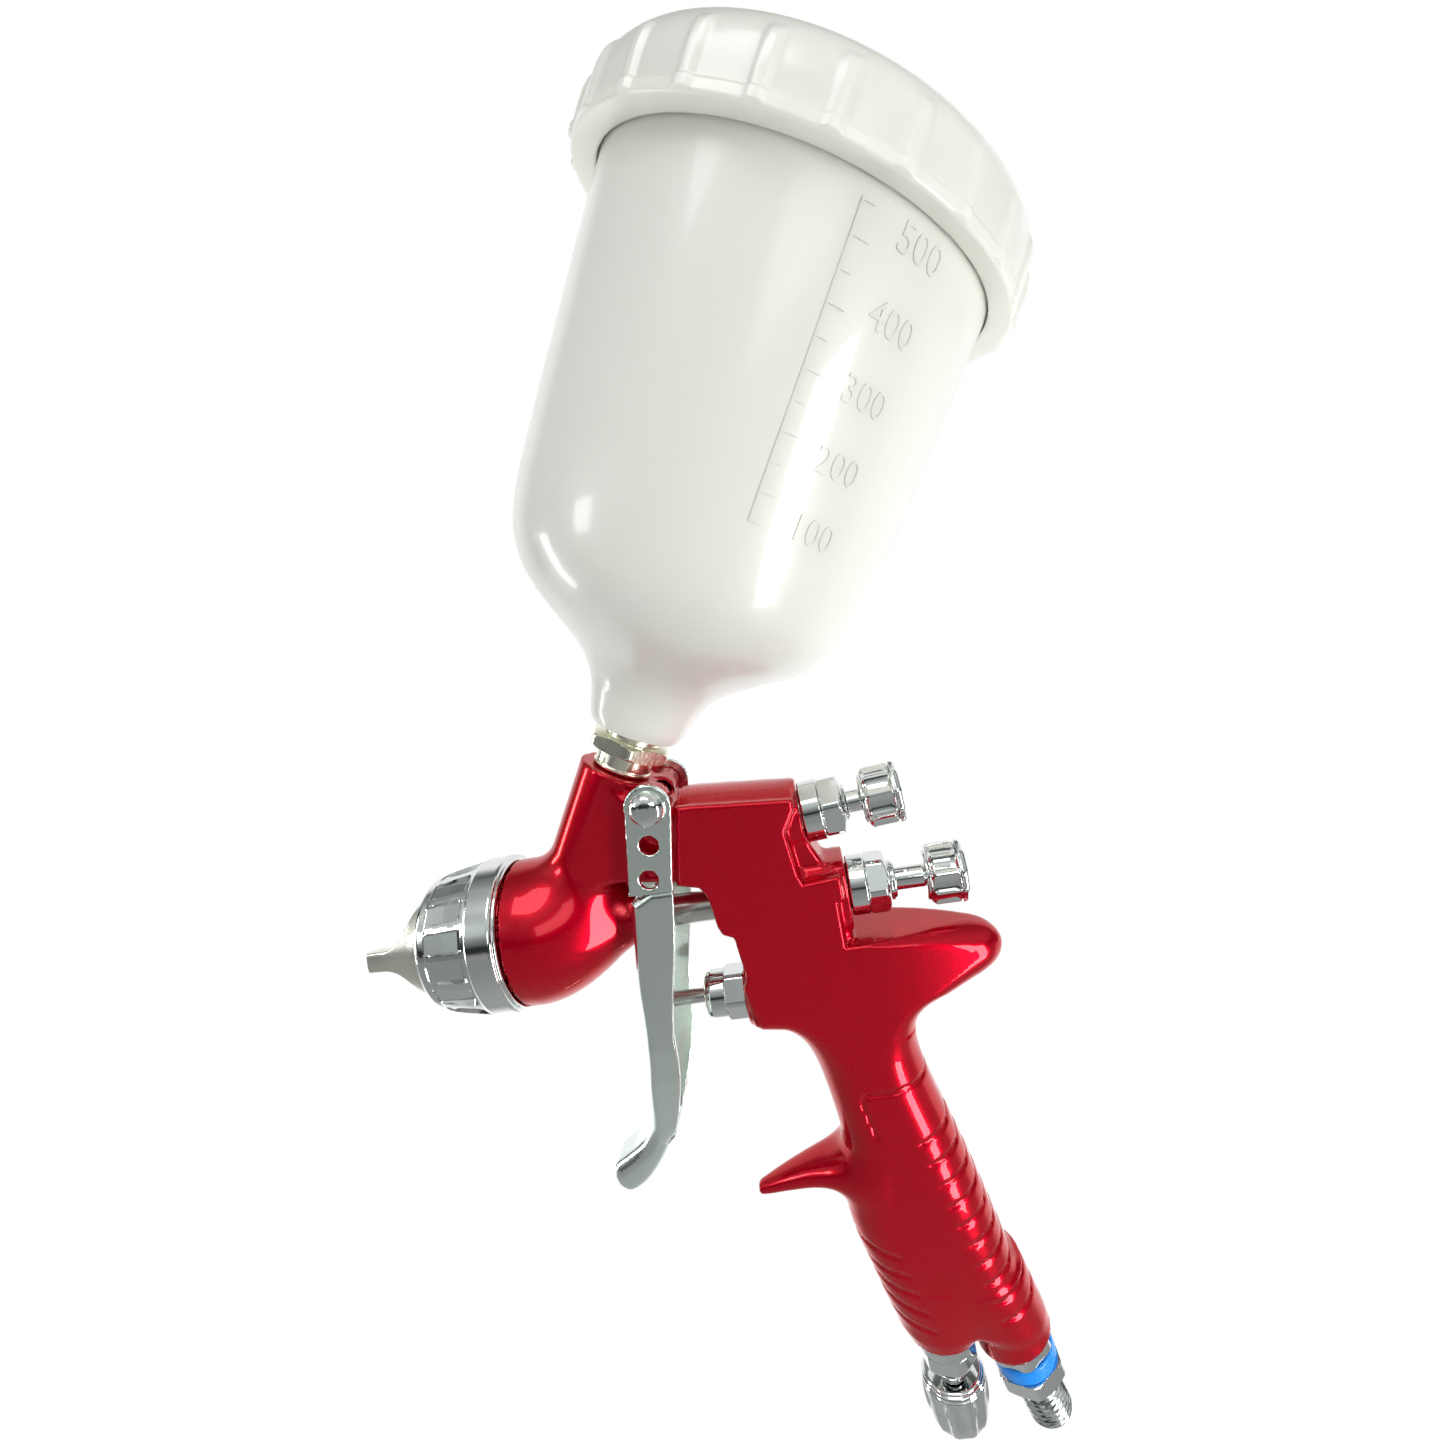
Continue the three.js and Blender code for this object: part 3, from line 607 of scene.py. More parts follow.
def air_cap_field(p):
    x = p[:, 0]
    y = p[:, 1] * math.cos(CAP_TURN) - p[:, 2] * math.sin(CAP_TURN)
    z = p[:, 1] * math.sin(CAP_TURN) + p[:, 2] * math.cos(CAP_TURN)
    radius = np.hypot(y, z)
    dome = np.interp(x, [-72.2, -71.6, -70.7, -69.5, -66], [4.2, 8.2, 12.2, 14.4, 14.8])
    disc = both(radius - dome, -71.9 - x, 0.6)
    disc = both(disc, x + 59.4, 0.4)
    flange = both(radius - 17, np.abs(x + 61.4) - 2.1, 0.4)
    horn = both(np.abs(z) - read_line(HORN_SIDE, x, 1), HORN_TIP - x, 0.4)
    horn = both(horn, x + 68, 0.5)
    ear = both(radius - read_line(HORN_OUTER, x, 1), horn, 0.5)
    ear = without(ear, np.abs(y) - read_line(HORN_INNER, x, 1), 0.5)
    d = either(np.minimum(disc, flange), ear, 1.2)
    cone = np.interp(x, [-76, -71.2, -69, -66.6, -63.2, -58], [3.2, 3.3, 5.2, 9.6, 15, 15])
    d = without(d, radius - cone, 0.25)
    jet = np.hypot(x + 83.2 - 0.6 * (np.abs(y) - 8), z) - 0.75
    for _ in range(2):  # the second cut softens the rim
        d = without(d, both(jet, np.abs(y) - 9.4), 0.1)
    for angle in np.radians(np.arange(4) * 90 + 45):
        hole = np.hypot(y - 6.4 * np.cos(angle), z - 6.4 * np.sin(angle)) - 0.55
        d = without(d, both(hole, x + 68), 0.1)
    return d


RING_FLATS = 16


def ring_shape(angle, radius, along):
    """Flats cut into the ring's cone, deepest at the rear, with narrow lands between them."""
    pitch = 2 * np.pi / RING_FLATS
    turn = (angle + pitch / 2) % pitch - pitch / 2
    floor = np.interp(along, [-64.9, -59.6, -55.2, -53.4], [18.5, 19.0, 19.3, 21.4])
    wall = np.clip((np.abs(turn) / pitch - 0.33) / 0.07, 0, 1)
    floor = (floor + wall * 2.6) * np.cos(pitch * 0.33) / np.cos(turn)
    inside = (radius > 18.2) & (along < -52.6) & (along > -65)
    return np.where(inside, np.minimum(radius, floor), radius)


def make_head():
    low, high = (-87, -18, -18), (-58.5, 18, 18)
    carved("air_cap_shell", air_cap_field, low, high, 0.55, "cap", "nickel", ["air_cap"])
    outline = [
        (18.6, -44.9), (19.6, -44.7), (20.3, -44.7), (20.7, -45, 0.1), (20.75, -45.5), (21.2, -45.6),
        (21.6, -46.2, 0.4), (21.6, -52.2), (21.2, -52.7), (21.02, -53.4), (20.6, -55.6), (20.3, -57.6),
        (19.9, -59.8), (19.5, -62.1), (19.05, -64.4), (18.8, -64.9), (18.55, -66.7, 0.4), (17.9, -67.8),
        (15.6, -67.8), (15.3, -67.4), (15.3, -64.2), (17.3, -64.2), (17.4, -59.6), (18.6, -59.4),
        (18.6, -44.9),
    ]
    turned(
        "ring_shell", outline, NOZZLE, "ring", "chrome", ["retaining_ring"], sides=512, shape=ring_shape,
        most=0.7, ease=0.2, sharp=30,
    )
    turned("tip_body", [
        (0, -75.5), (1.3, -75.5), (1.7, -75.1), (2.4, -72), (3.4, -69.8), (5.6, -66), (6.6, -61),
        (6.6, -57.8), (8.6, -57.5), (8.6, -46), (5.1, -45.9), (5.1, -37), (0, -37),
    ], NOZZLE, "gun", "nickel", ["fluid_tip"], sides=72)
    turned("needle_rod", [
        (0, -75.2), (0.4, -74.9), (1.1, -66), (1.8, -60), (1.8, -9), (3.9, -9), (4.2, -8.7),
        (4.2, 15.7), (3.9, 16), (2, 16.6), (2, 24), (0, 24),
    ], NOZZLE, "needle", "steel", ["fluid_needle"], sides=72)
    turned("needle_packing_nut", [
        (2.2, -24.9), (5.1, -24.9), (5.1, -15.4), (5.15, -15.2), (5.2, -12.9), (4.7, -12.4),
        (2.4, -12.4), (2.2, -12.7), (2.2, -24.9),
    ], NOZZLE, "gun", "brass", ["packing_nut"], shape=hexed(9, -15.3, -12, 0.1))


# ---- rear controls
def make_bushing(name, axis, face, band_end, nose, phase, body, node, bore, flats=14.6, band=8.0):
    corner = hex_corner(flats)
    outline = [
        (bore, face - 10), (6, face - 10), (6, face + 0.3), (band - 0.4, face + 0.3),
        (band, face + 0.7), (band, band_end - 0.3), (band - 0.3, band_end),
        (band - 0.5, band_end + 0.12), (corner - 0.5, band_end + 0.3), (corner, band_end + 0.75),
        (corner, nose - 2.8), (corner - 0.5, nose - 2.0, 0.5), (corner - 1.5, nose - 1.3, 0.6),
        (6.0, nose - 0.95), (5.5, nose - 0.85), (5.3, nose - 0.5), (4.6, nose), (bore + 0.2, nose),
        (bore, nose - 0.3), (bore, face - 10),
    ]
    shape = hexed(flats, band_end + 0.2, nose - 1.0, phase=phase)
    turned(name, outline, axis, body, "chrome", [node], 240, shape, most=0.8, ease=0.25, sharp=28)


def knob_shape(start, end):
    wide = fluted(10, 0.85, start, end - 2.2, 0.86, 0.5)
    rear = fluted(10, 0.4, end - 1.9, end + 0.5, 0.8, 0.2)

    def shape(angle, radius, along):
        outer = radius > 6.9
        grooved = np.where(along < end - 2.1, wide(angle, radius, along), rear(angle, radius, along))
        return np.where(outer, grooved, radius)

    return shape


def make_knob(name, axis, start, end, shaft_start, body, node, stem=None):
    outline = [
        (0, shaft_start), (2.8, shaft_start), (3, shaft_start + 0.3), (3, start - 0.2, 0.2),
        (3.5, start + 0.05), (5.9, start), (6.5, start + 0.35), (6.5, start + 0.75),
        (6.75, start + 1.0), (7.3, start + 1.2, 0.3), (8.1, start + 1.9, 0.5), (8.1, end - 2.4),
        (8.0, end - 2.15), (7.5, end - 2.0, 0.05), (7.5, end - 1.75, 0.05), (8.2, end - 1.65),
        (8.3, end - 1.35), (8.15, end - 0.6), (7.7, end - 0.05, 0.3), (6.6, end), (6.2, end - 0.5),
        (2, end - 0.6), (0, end - 0.6),
    ]
    if stem:
        outline = stem + outline[1:]
    shape = knob_shape(start + 1.0, end)
    turned(name, outline, axis, body, "chrome", [node], 320, shape, most=0.8, ease=0.2, sharp=35)


def make_controls():
    make_bushing("fluid_bushing", NOZZLE, 44.3, 49.4, 56.2, 0, "gun", "fluid_valve_bushing", 5.15)
    stem = [(0, 41.5), (4.5, 41.5), (4.8, 41.8), (4.8, 56.6), (4.5, 57), (3, 57)]
    make_knob("fluid_adjuster", NOZZLE, 64.4, 74.8, 56.6, "fluid_screw", "fluid_knob", stem)
    make_bushing("pattern_bushing", FAN, 0, 5.4, 12.2, -16, "gun", "pattern_valve_bushing", 3.6)
    stem = [(0, -18), (1.9, -13), (1.9, -0.9), (2.8, -0.9), (3, -0.6)]
    make_knob("pattern_adjuster", FAN, 15.6, 26, -0.9, "pattern_screw", "pattern_knob", stem)
    turned("air_valve_gland", [
        (2.4, -12), (4.9, -12), (4.9, 0.2), (7.2, 0.3), (7.74, 0.8), (7.74, 4.9), (7.3, 5.6),
        (6.9, 5.75), (6.7, 5.9), (6.7, 9.8), (6.1, 11.2, 0.8), (4.6, 11.8), (3.0, 11.8), (2.4, 11.4),
        (2.4, -12),
    ], VALVE, "gun", "chrome", ["air_valve_nut"], 240, hexed(13.4, 0.2, 5.7), most=0.8, ease=0.25, sharp=28)
    turned("air_valve_rod", [
        (0, -18.4), (4.2, -18.4), (4.6, -17.6), (4.6, -15.6), (3, -14.5), (2, -14.3), (2, 23.9),
        (1.4, 24.7), (0, 24.7),
    ], VALVE, "air_valve", "steel", ["air_valve_stem"], sides=48)


# ---- trigger
PIVOT = dict(zip("uvw", np.array([[-1.0, 0, 0], [0, 0, 1], [0, -1, 0]])), at=np.array([PIVOT_X, 0, PIVOT_Z]))
EYE_RADIUS = 5.9  # round top of each leg, about the pivot
FLAT_LEG_END = 12.5  # the legs are flat above this height and a rounded channel below it
CHANNEL_ROUND = 1.6
TRIGGER_FRONT = [
    (-10.9, 12.5), (-10.35, 9.5), (-12, -3), (-13.4, -13), (-14.2, -26), (-15.8, -38), (-17.8, -47),
    (-19.4, -54),
]
TRIGGER_LIP = [
    (-20.9, -59.3), (-23.2, -63.5), (-26.8, -67.2), (-31, -70.1), (-34.3, -72.5), (-35.6, -75.6),
    (-35.2, -78.8), (-33.4, -81.2), (-30.8, -82.2), (-28, -81.3), (-24.4, -78.5), (-20.7, -74.2),
    (-17.4, -69.4),
]
TRIGGER_BACK = [
    (-14.6, -64.6), (-11.7, -57), (-9, -48), (-6.9, -38), (-5.9, -26), (-3.2, -13), (-0.9, -3),
    (1.4, 10.6), (2.0, 15),
]


def trigger_sides():
    """Side view of the whole trigger, and of its front alone, grown past the back."""
    eye = [
        (PIVOT_X + EYE_RADIUS * math.cos(a), PIVOT_Z + EYE_RADIUS * math.sin(a))
        for a in np.radians(np.linspace(-12, 188, 21))
    ]
    front = smooth_line(TRIGGER_FRONT[1:], 4).tolist()
    lip = smooth_line([TRIGGER_FRONT[-1]] + TRIGGER_LIP + [TRIGGER_BACK[0]], 3)[1:-1].tolist()
    back = smooth_line(TRIGGER_BACK, 4).tolist()
    whole = eye + [(-9.3, 15), (-9.6, 12.6), (-10.3, 11.6)] + front + lip + back
    shell = [(40, FLAT_LEG_END), (-4.5, FLAT_LEG_END)] + front + lip + [(-10, -61), (0, -50), (40, -35)]
    return whole, shell


TRIGGER_WHOLE, TRIGGER_SHELL = trigger_sides()
TRIGGER_HOLLOW = [
    (-8.9, 10.3), (-10.3, -3), (-11.7, -13), (-12.5, -26), (-14.1, -38), (-16.1, -47), (-17.7, -54.4),
    (-19.2, -60.6), (-20.6, -64.6), (-18.6, -67), (-14.6, -63.4), (20, -62), (20, 45), (-30, 45),
    (-30, 10.3),
]


def trigger_field(p):
    x, z = p[:, 0], p[:, 2]
    y = np.abs(p[:, 1])
    narrowing = np.interp(z, [-82, -72, -63, -52, -42, -32, -24], [9.0, 7.8, 6.3, 3.7, 1.6, 0.3, 0])
    width = LEG_OUT - narrowing
    plate = both(outline_distance(x, z, TRIGGER_WHOLE), y - width, 0.35)
    front_round = np.interp(z, [-72, -60, -44], [4.8, 5.5, 3.2])
    channel = rounded_both(outline_distance(x, z, TRIGGER_SHELL), y - width, front_round)
    channel = np.where(z > FLAT_LEG_END - 1.1, -5, channel)
    d = both(plate, channel, 0.4)
    to_hollow = outline_distance(x, z, TRIGGER_HOLLOW)
    to_leg = y - width + (LEG_OUT - LEG_IN)
    hollow = rounded_both(to_hollow, to_leg, CHANNEL_ROUND)
    hollow = np.where(z > 8, both(to_hollow, to_leg), hollow)
    d = without(d, hollow, 0.3)
    needle_slot = slab(x, z, y, [(-20, 5.5), (0, 5.5), (0, -4), (-20, -4)], 2.6, 0.3)
    d = without(d, needle_slot, 0.3)
    for at_x, at_z, radius in ((PIVOT_X, PIVOT_Z, 2.9), (-2.1, 24, 2.5), (-3.9, 15.2, 2.5)):
        d = without(d, np.hypot(x - at_x, z - at_z) - radius, 0.3)
    return d


def make_trigger():
    low, high = (-37.2, -16.6, -83.6), (6.6, 16.6, 40.4)
    carved("trigger_plate", trigger_field, low, high, 0.6, "trigger_lever", "chrome", ["trigger"])
    stud_start = -BODY_HALF - 0.6
    turned("pivot_stud", [
        (0, stud_start), (2.3, stud_start), (2.3, 15.8), (4.3, 15.9), (4.5, 16.2), (4.4, 16.7),
        (4.1, 17.4), (3.4, 18.1), (2.4, 18.6), (1.2, 18.85), (0, 18.9),
    ], PIVOT, "gun", "chrome", ["trigger_stud"])
    turned("pivot_screw", [
        (0, -18), (0.6, -17.9), (2.6, -17.7), (3.7, -17.2), (4.3, -16.5), (4.4, -15.95), (2.3, -15.9),
        (2.3, -12.7), (0, -12.7),
    ], PIVOT, "gun", "chrome", ["trigger_screw"])


# ---- lower fittings
def make_lower_fittings():
    corner = hex_corner(15.4)
    turned("flow_bushing", [
        (3.7, -12), (4.9, -12), (4.9, 0.2), (8.3, 0.3), (8.6, 0.6), (8.6, 6.2), (8.4, 6.4), (8.5, 6.55),
        (corner, 7.0), (corner, 10.9), (corner - 0.7, 11.6, 0.4), (3.9, 11.6), (3.7, 11.3), (3.7, -12),
    ], FLOW, "gun", "chrome", ["flow_valve_bushing"], 240, hexed(15.4, 6.5, 12, phase=-14.5), 0.8, sharp=28)

    def flow_shape(angle, radius, along):
        depth = np.interp(along, [19.6, 20.6, 27, 32, 36], [0, 0.7, 1.3, 0.5, 0.2])
        turn = (angle * 10 / (2 * np.pi)) % 1 - 0.5
        hollow = np.clip(1 - (np.abs(turn) / 0.36) ** 2, 0, 1) ** 0.8
        return np.where(radius > 5.2, radius - depth * hollow, radius)

    turned("flow_adjuster", [
        (0, -13), (1.9, -13), (1.9, -1), (3, -1), (3, 13.9), (4.4, 14), (4.6, 14.3), (4.6, 16.4),
        (5.2, 16.7), (8.3, 16.9), (8.8, 17.3), (8.8, 17.7), (8.6, 17.9), (9.1, 18.1), (9.4, 18.5),
        (9.4, 18.9), (9.2, 19.1), (9.6, 19.5, 0.2), (9.75, 22), (9.6, 27), (9.2, 31, 1.5),
        (8.2, 34.4, 1.5), (6.6, 35.8, 0.5), (5.2, 36), (4.6, 35.4), (0, 35.3),
    ], FLOW, "flow_screw", "chrome", ["flow_valve_knob"], sides=320, shape=flow_shape, most=0.9, sharp=35)

    upper, lower = hexed(17, 0.2, 5.6), hexed(18.4, 10.3, 15.6)

    def nipple_shape(angle, radius, along):
        radius = lower(angle, upper(angle, radius, along), along)
        ridge = 0.5 + 0.5 * np.cos(2 * np.pi * along / 1.8 - angle)
        fade = np.clip((along - 19.0) / 0.8, 0, 1) * np.clip((30.6 - along) / 0.8, 0, 1)
        return np.where((radius > 5.7) & (along > 18.5), radius - 0.62 * (1 - ridge**0.8) * fade, radius)

    turned("inlet_nipple", [
        (3.4, -10), (4.9, -10), (4.9, 0.2), (9.2, 0.3), (9.8, 0.9), (9.8, 4.8), (9.2, 5.4), (8.2, 5.6),
        (8.2, 10.2), (9.8, 10.4), (10.6, 11), (10.6, 14.2), (9.4, 15.2, 0.5), (7, 15.5), (6.2, 16),
        (5.7, 18), (5.7, 18.9, 0.2), (6.75, 19.6), (6.75, 30.2), (5.7, 31.4), (4.1, 31.4), (3.4, 30.8),
        (3.4, -10),
    ], INLET, "gun", "chrome", ["air_inlet_nipple"], sides=240, shape=nipple_shape, most=0.3, sharp=30)
    turned("colour_ring", [
        (8.5, 5.7), (8.9, 5.7), (9.3, 6.1), (9.3, 9.8), (8.9, 10.1), (8.5, 10.1), (8.5, 5.7),
    ], INLET, "gun", "blue_plastic", ["inlet_colour_ring"])


# ---- paint cup
CUP_SIDE = [
    (8.6, 11.05, 0.1), (11.4, 11.05, 0.7), (12.6, 13.6, 1.5), (13.4, 17), (14.5, 20.8, 1),
    (16.6, 24.8, 2.2), (20.2, 28.8, 2), (26, 33, 2), (32.4, 37.4, 3), (36.4, 40.8, 3), (39.6, 44.9, 3),
    (41.9, 49.4, 3), (43.2, 55, 3), (44.0, 62, 3), (44.6, 80, 3), (45.1, 104, 3), (45.4, 124, 2),
    (45.4, 137.4, 0.5),
]


def cup_outer(along):
    line = np.array([(s, r) for r, s, *rest in CUP_SIDE])
    return np.interp(along, line[:, 0], line[:, 1])


def make_cup():
    wall = 1.7
    outer = eased(CUP_SIDE, 0.3, 5)
    slope_way = np.gradient(outer, axis=0)
    slope_way /= np.linalg.norm(slope_way, axis=1)[:, None]
    inward = np.stack([-slope_way[:, 1], slope_way[:, 0]], 1)
    inner = (outer + inward * wall)[3:-1]
    inner = inner[inner[:, 1] < 136.6]
    rim = [(45.4, 137.2), (45.1, 137.5), (44.0, 137.5), (43.7, 137.2)]
    mouth = [(9.5, 12.9), (5.9, 12.9), (5.9, 11.05)]
    profile = np.array([mouth[-1], *outer[:-1].tolist(), *rim, *inner[::-1].tolist(), *mouth])
    points, faces = lathe(divided(profile, 4.0), CUP, 192)
    faces = faces_outward(profile, faces)
    make_mesh("cup_shell", points, faces, "cup", "cup_plastic", ["cup_body"], sharp=40)

    corner = hex_corner(19.4)
    turned("cup_stem", [
        (4.1, -9), (6.3, -9), (6.3, 0.2), (7.5, 0.3), (7.75, 0.6), (7.75, 1.2), (7.4, 1.4), (7.4, 4.8),
        (8.6, 4.85), (9.7, 5.0), (10.7, 5.5, 0.4), (corner, 6.1, 0.4), (corner, 7.9, 0.4),
        (10.7, 8.4, 0.4), (9.7, 8.8), (8, 8.9), (7.5, 9), (7.5, 10.8), (5.6, 10.9), (5.6, 17.3),
        (5.2, 17.6), (4.3, 17.6), (4.1, 17.4), (4.1, -9),
    ], CUP, "cup", "nickel", ["cup_fitting"], sides=288, shape=hexed(19.4, 4.86, 8.85, 0.15, 13), most=0.7,
        ease=0.25, sharp=28)


SCALE_LINE, SCALE_NUMBERS = math.radians(-72), math.radians(-54)  # places round the cup
SCALE_LOW, SCALE_HIGH, SCALE_STEP = 67, 123, 5.6  # distances along the cup's axis
CUP_RADIUS = 45


def scale_marks():
    """Moulded scale on the side of the cup as (angle, distance): a long line with a tick for every step."""
    bars = [(SCALE_LINE, SCALE_LOW, SCALE_LINE + 0.012, SCALE_HIGH)]
    for k in range(11):
        low = SCALE_LOW + k * SCALE_STEP
        reach = 0.085 if k % 2 else 0.06
        bars.append((SCALE_LINE, low, SCALE_LINE + reach, low + 0.45))
    points, faces = [], []
    for a0, s0, a1, s1 in bars:
        rows = max(2, int((s1 - s0) / 3) + 1)
        cols = max(2, int((a1 - a0) * CUP_RADIUS / 1.2) + 1)
        base = len(points)
        points += [(a, s) for s in np.linspace(s0, s1, rows) for a in np.linspace(a0, a1, cols)]
        for i in range(rows - 1):
            for j in range(cols - 1):
                n = base + i * cols + j
                faces.append([n, n + 1, n + cols + 1, n + cols])
    return np.array(points), faces


def wrap_on_cup(flat, lift):
    """Points (angle, distance) to the cup's side, lifted off it."""
    flat = np.asarray(flat, float)
    radius = cup_outer(flat[:, 1]) + lift
    return (
        CUP["at"]
        + (radius * np.cos(flat[:, 0]))[:, None] * CUP["u"]
        + (radius * np.sin(flat[:, 0]))[:, None] * CUP["v"]
        + flat[:, 1][:, None] * CUP["w"]
    )


def flat_number(value):
    """Outline points and polygons of a number, flat and centred."""
    text = bpy.data.curves.new("number", "FONT")
    text.body = str(value)
    text.size = 7.4
    text.align_x = "CENTER"
    holder = bpy.data.objects.new("number", text)
    bpy.context.scene.collection.objects.link(holder)
    bpy.context.view_layer.update()
    mesh = bpy.data.meshes.new_from_object(holder)
    letters = np.array([v.co[:2] for v in mesh.vertices])
    polygons = [list(f.vertices) for f in mesh.polygons]
    bpy.data.objects.remove(holder)
    bpy.data.curves.remove(text)
    bpy.data.meshes.remove(mesh)
    return letters, polygons


def make_scale():
    parts = [scale_marks()]
    for k in range(5):
        letters, polygons = flat_number(100 * (k + 1))
        at = 69.5 + k * 13.1
        spots = np.stack([SCALE_NUMBERS + letters[:, 0] / CUP_RADIUS, at + letters[:, 1] - 2.6], 1)
        parts.append((spots, polygons))
    points, faces = [], []
    for spots, polygons in parts:
        base, count = len(points), len(spots)
        points.extend(wrap_on_cup(spots, 0.22))
        points.extend(wrap_on_cup(spots, -0.3))
        rim = {}
        for polygon in polygons:
            faces.append([base + v for v in polygon])
            faces.append([base + count + v for v in polygon[::-1]])
            for a, b in zip(polygon, polygon[1:] + polygon[:1]):
                if rim.pop((b, a), None) is None:
                    rim[(a, b)] = True
        for a, b in rim:
            faces.append([base + b, base + a, base + count + a, base + count + b])
    make_mesh("cup_scale", points, faces, "cup", "cup_plastic", sharp=30)


LID_RIBS = 24


def lid_shape(angle, radius, along):
    """Narrow ribs down the lid's side, fading out below its domed corner."""
    turn = ((angle * LID_RIBS / (2 * np.pi)) % 1 - 0.5) * (2 * np.pi / LID_RIBS) * 50.5
    rib = np.clip(2.4 - np.abs(turn) / 0.8, 0, 1)
    rib = rib * rib * (3 - 2 * rib)
    ends = np.clip((138.8 - along) / 1.6, 0, 1) * np.clip((along - 126.6) / 0.4, 0, 1)
    return np.where(radius > 49.5, radius + 0.7 * rib * np.sqrt(ends), radius)


def make_lid():
    side = 51.0
    outline = [
        (45.9, 126.7), (46.3, 126.4), (49.2, 126.4, 0.2), (50.9, 126.4), (51.35, 126.8, 0.3),
        (51.35, 128.6), (side, 129.1), (side, 134.2, 1.5), (50.2, 137.9, 2), (48.3, 141, 2),
        (45.4, 143.1, 2), (41.3, 144, 2), (30, 144), (12, 144), (6.4, 144), (6, 144.3), (6, 146),
        (5.6, 146.4), (2.3, 146.4), (2.2, 146.2), (2.2, 142.2), (2.3, 142), (41, 142),
        (45.4, 140.6, 1.5), (48, 137.6, 1.5), (49.2, 134, 1), (49.2, 130), (46.2, 129.8), (45.9, 129.5),
        (45.9, 126.7),
    ]
    turned(
        "lid_shell", outline, CUP, "lid", "cup_plastic", ["cup_lid"], sides=19 * LID_RIBS, shape=lid_shape,
        most=1.6, ease=0.35, sharp=50,
    )
    turned("vent_plug", [
        (0, 138.4), (1.6, 138.4), (1.9, 138.8), (1.9, 146.7), (4.4, 146.7), (4.6, 146.9), (4.6, 147.4),
        (4.4, 147.8), (3.5, 149.2), (3.1, 149.7), (0, 149.8),
    ], CUP, "lid", "cup_plastic", ["drip_check_plug"], shape=fluted(12, 0.3, 146.8, 149.4, 0.5, 0.2))


# ---- finishes
def add_node(tree, kind, **sockets):
    """A shader node with its input sockets set: Coat_IOR stands for the socket Coat IOR."""
    made = tree.nodes.new("ShaderNode" + kind)
    for key, value in sockets.items():
        made.inputs[key.replace("_", " ")].default_value = value
    return made


def connect(tree, *pairs):
    """Links between nodes, each as (node, output, node, input)."""
    for source, out, target, into in pairs:
        tree.links.new(source.outputs[out], target.inputs[into])


def new_tree(owner):
    owner.use_nodes = True
    owner.node_tree.nodes.clear()
    return owner.node_tree


RELIEF_DEPTH = 0.0004  # metres


def make_material(
    name, color, roughness, metallic=0.0, coat=0.0, coat_roughness=0.05, bump=0.1, grain=900.0, tint=0.06,
    spread=0.05, subsurface=0.0, edge=(1, 1, 1), coat_ior=1.5, gloss=0.5, stretch=(1, 1, 1),
):
    """A finish with slightly uneven colour, roughness and surface. grain is waves per metre."""
    made = bpy.data.materials.new(name)
    tree = new_tree(made)
    shader = add_node(
        tree, "BsdfPrincipled", Metallic=metallic, Coat_Weight=coat, Coat_Roughness=coat_roughness,
        Coat_IOR=coat_ior, Specular_Tint=(*edge, 1), Specular_IOR_Level=gloss, Subsurface_Weight=subsurface,
    )
    if subsurface:
        shader.inputs["Subsurface Radius"].default_value = (0.012, 0.0115, 0.0105)
        shader.inputs["Subsurface Scale"].default_value = 1.0
    where = add_node(tree, "TexCoord")
    turn = add_node(tree, "Mapping", Scale=stretch)
    fine = add_node(tree, "TexNoise", Scale=grain, Detail=4)
    broad = add_node(tree, "TexNoise", Scale=grain / 12, Detail=3)
    darker = [c * (1 - tint) for c in color]
    lighter = [min(1, c * (1 + tint)) for c in color]
    shade = add_node(tree, "MixRGB", Color1=(*darker, 1), Color2=(*lighter, 1))
    rough = add_node(tree, "MapRange", To_Min=max(0.0, roughness - spread), To_Max=roughness + spread)
    relief = add_node(tree, "Bump", Strength=bump, Distance=RELIEF_DEPTH)
    connect(
        tree,
        (where, "Object", turn, "Vector"),
        (turn, "Vector", fine, "Vector"),
        (turn, "Vector", broad, "Vector"),
        (broad, "Fac", shade, "Fac"),
        (shade, "Color", shader, "Base Color"),
        (fine, "Fac", rough, "Value"),
        (rough, "Result", shader, "Roughness"),
        (fine, "Fac", relief, "Height"),
        (relief, "Normal", shader, "Normal"),
        (shader, "BSDF", add_node(tree, "OutputMaterial"), "Surface"),
    )
    return made


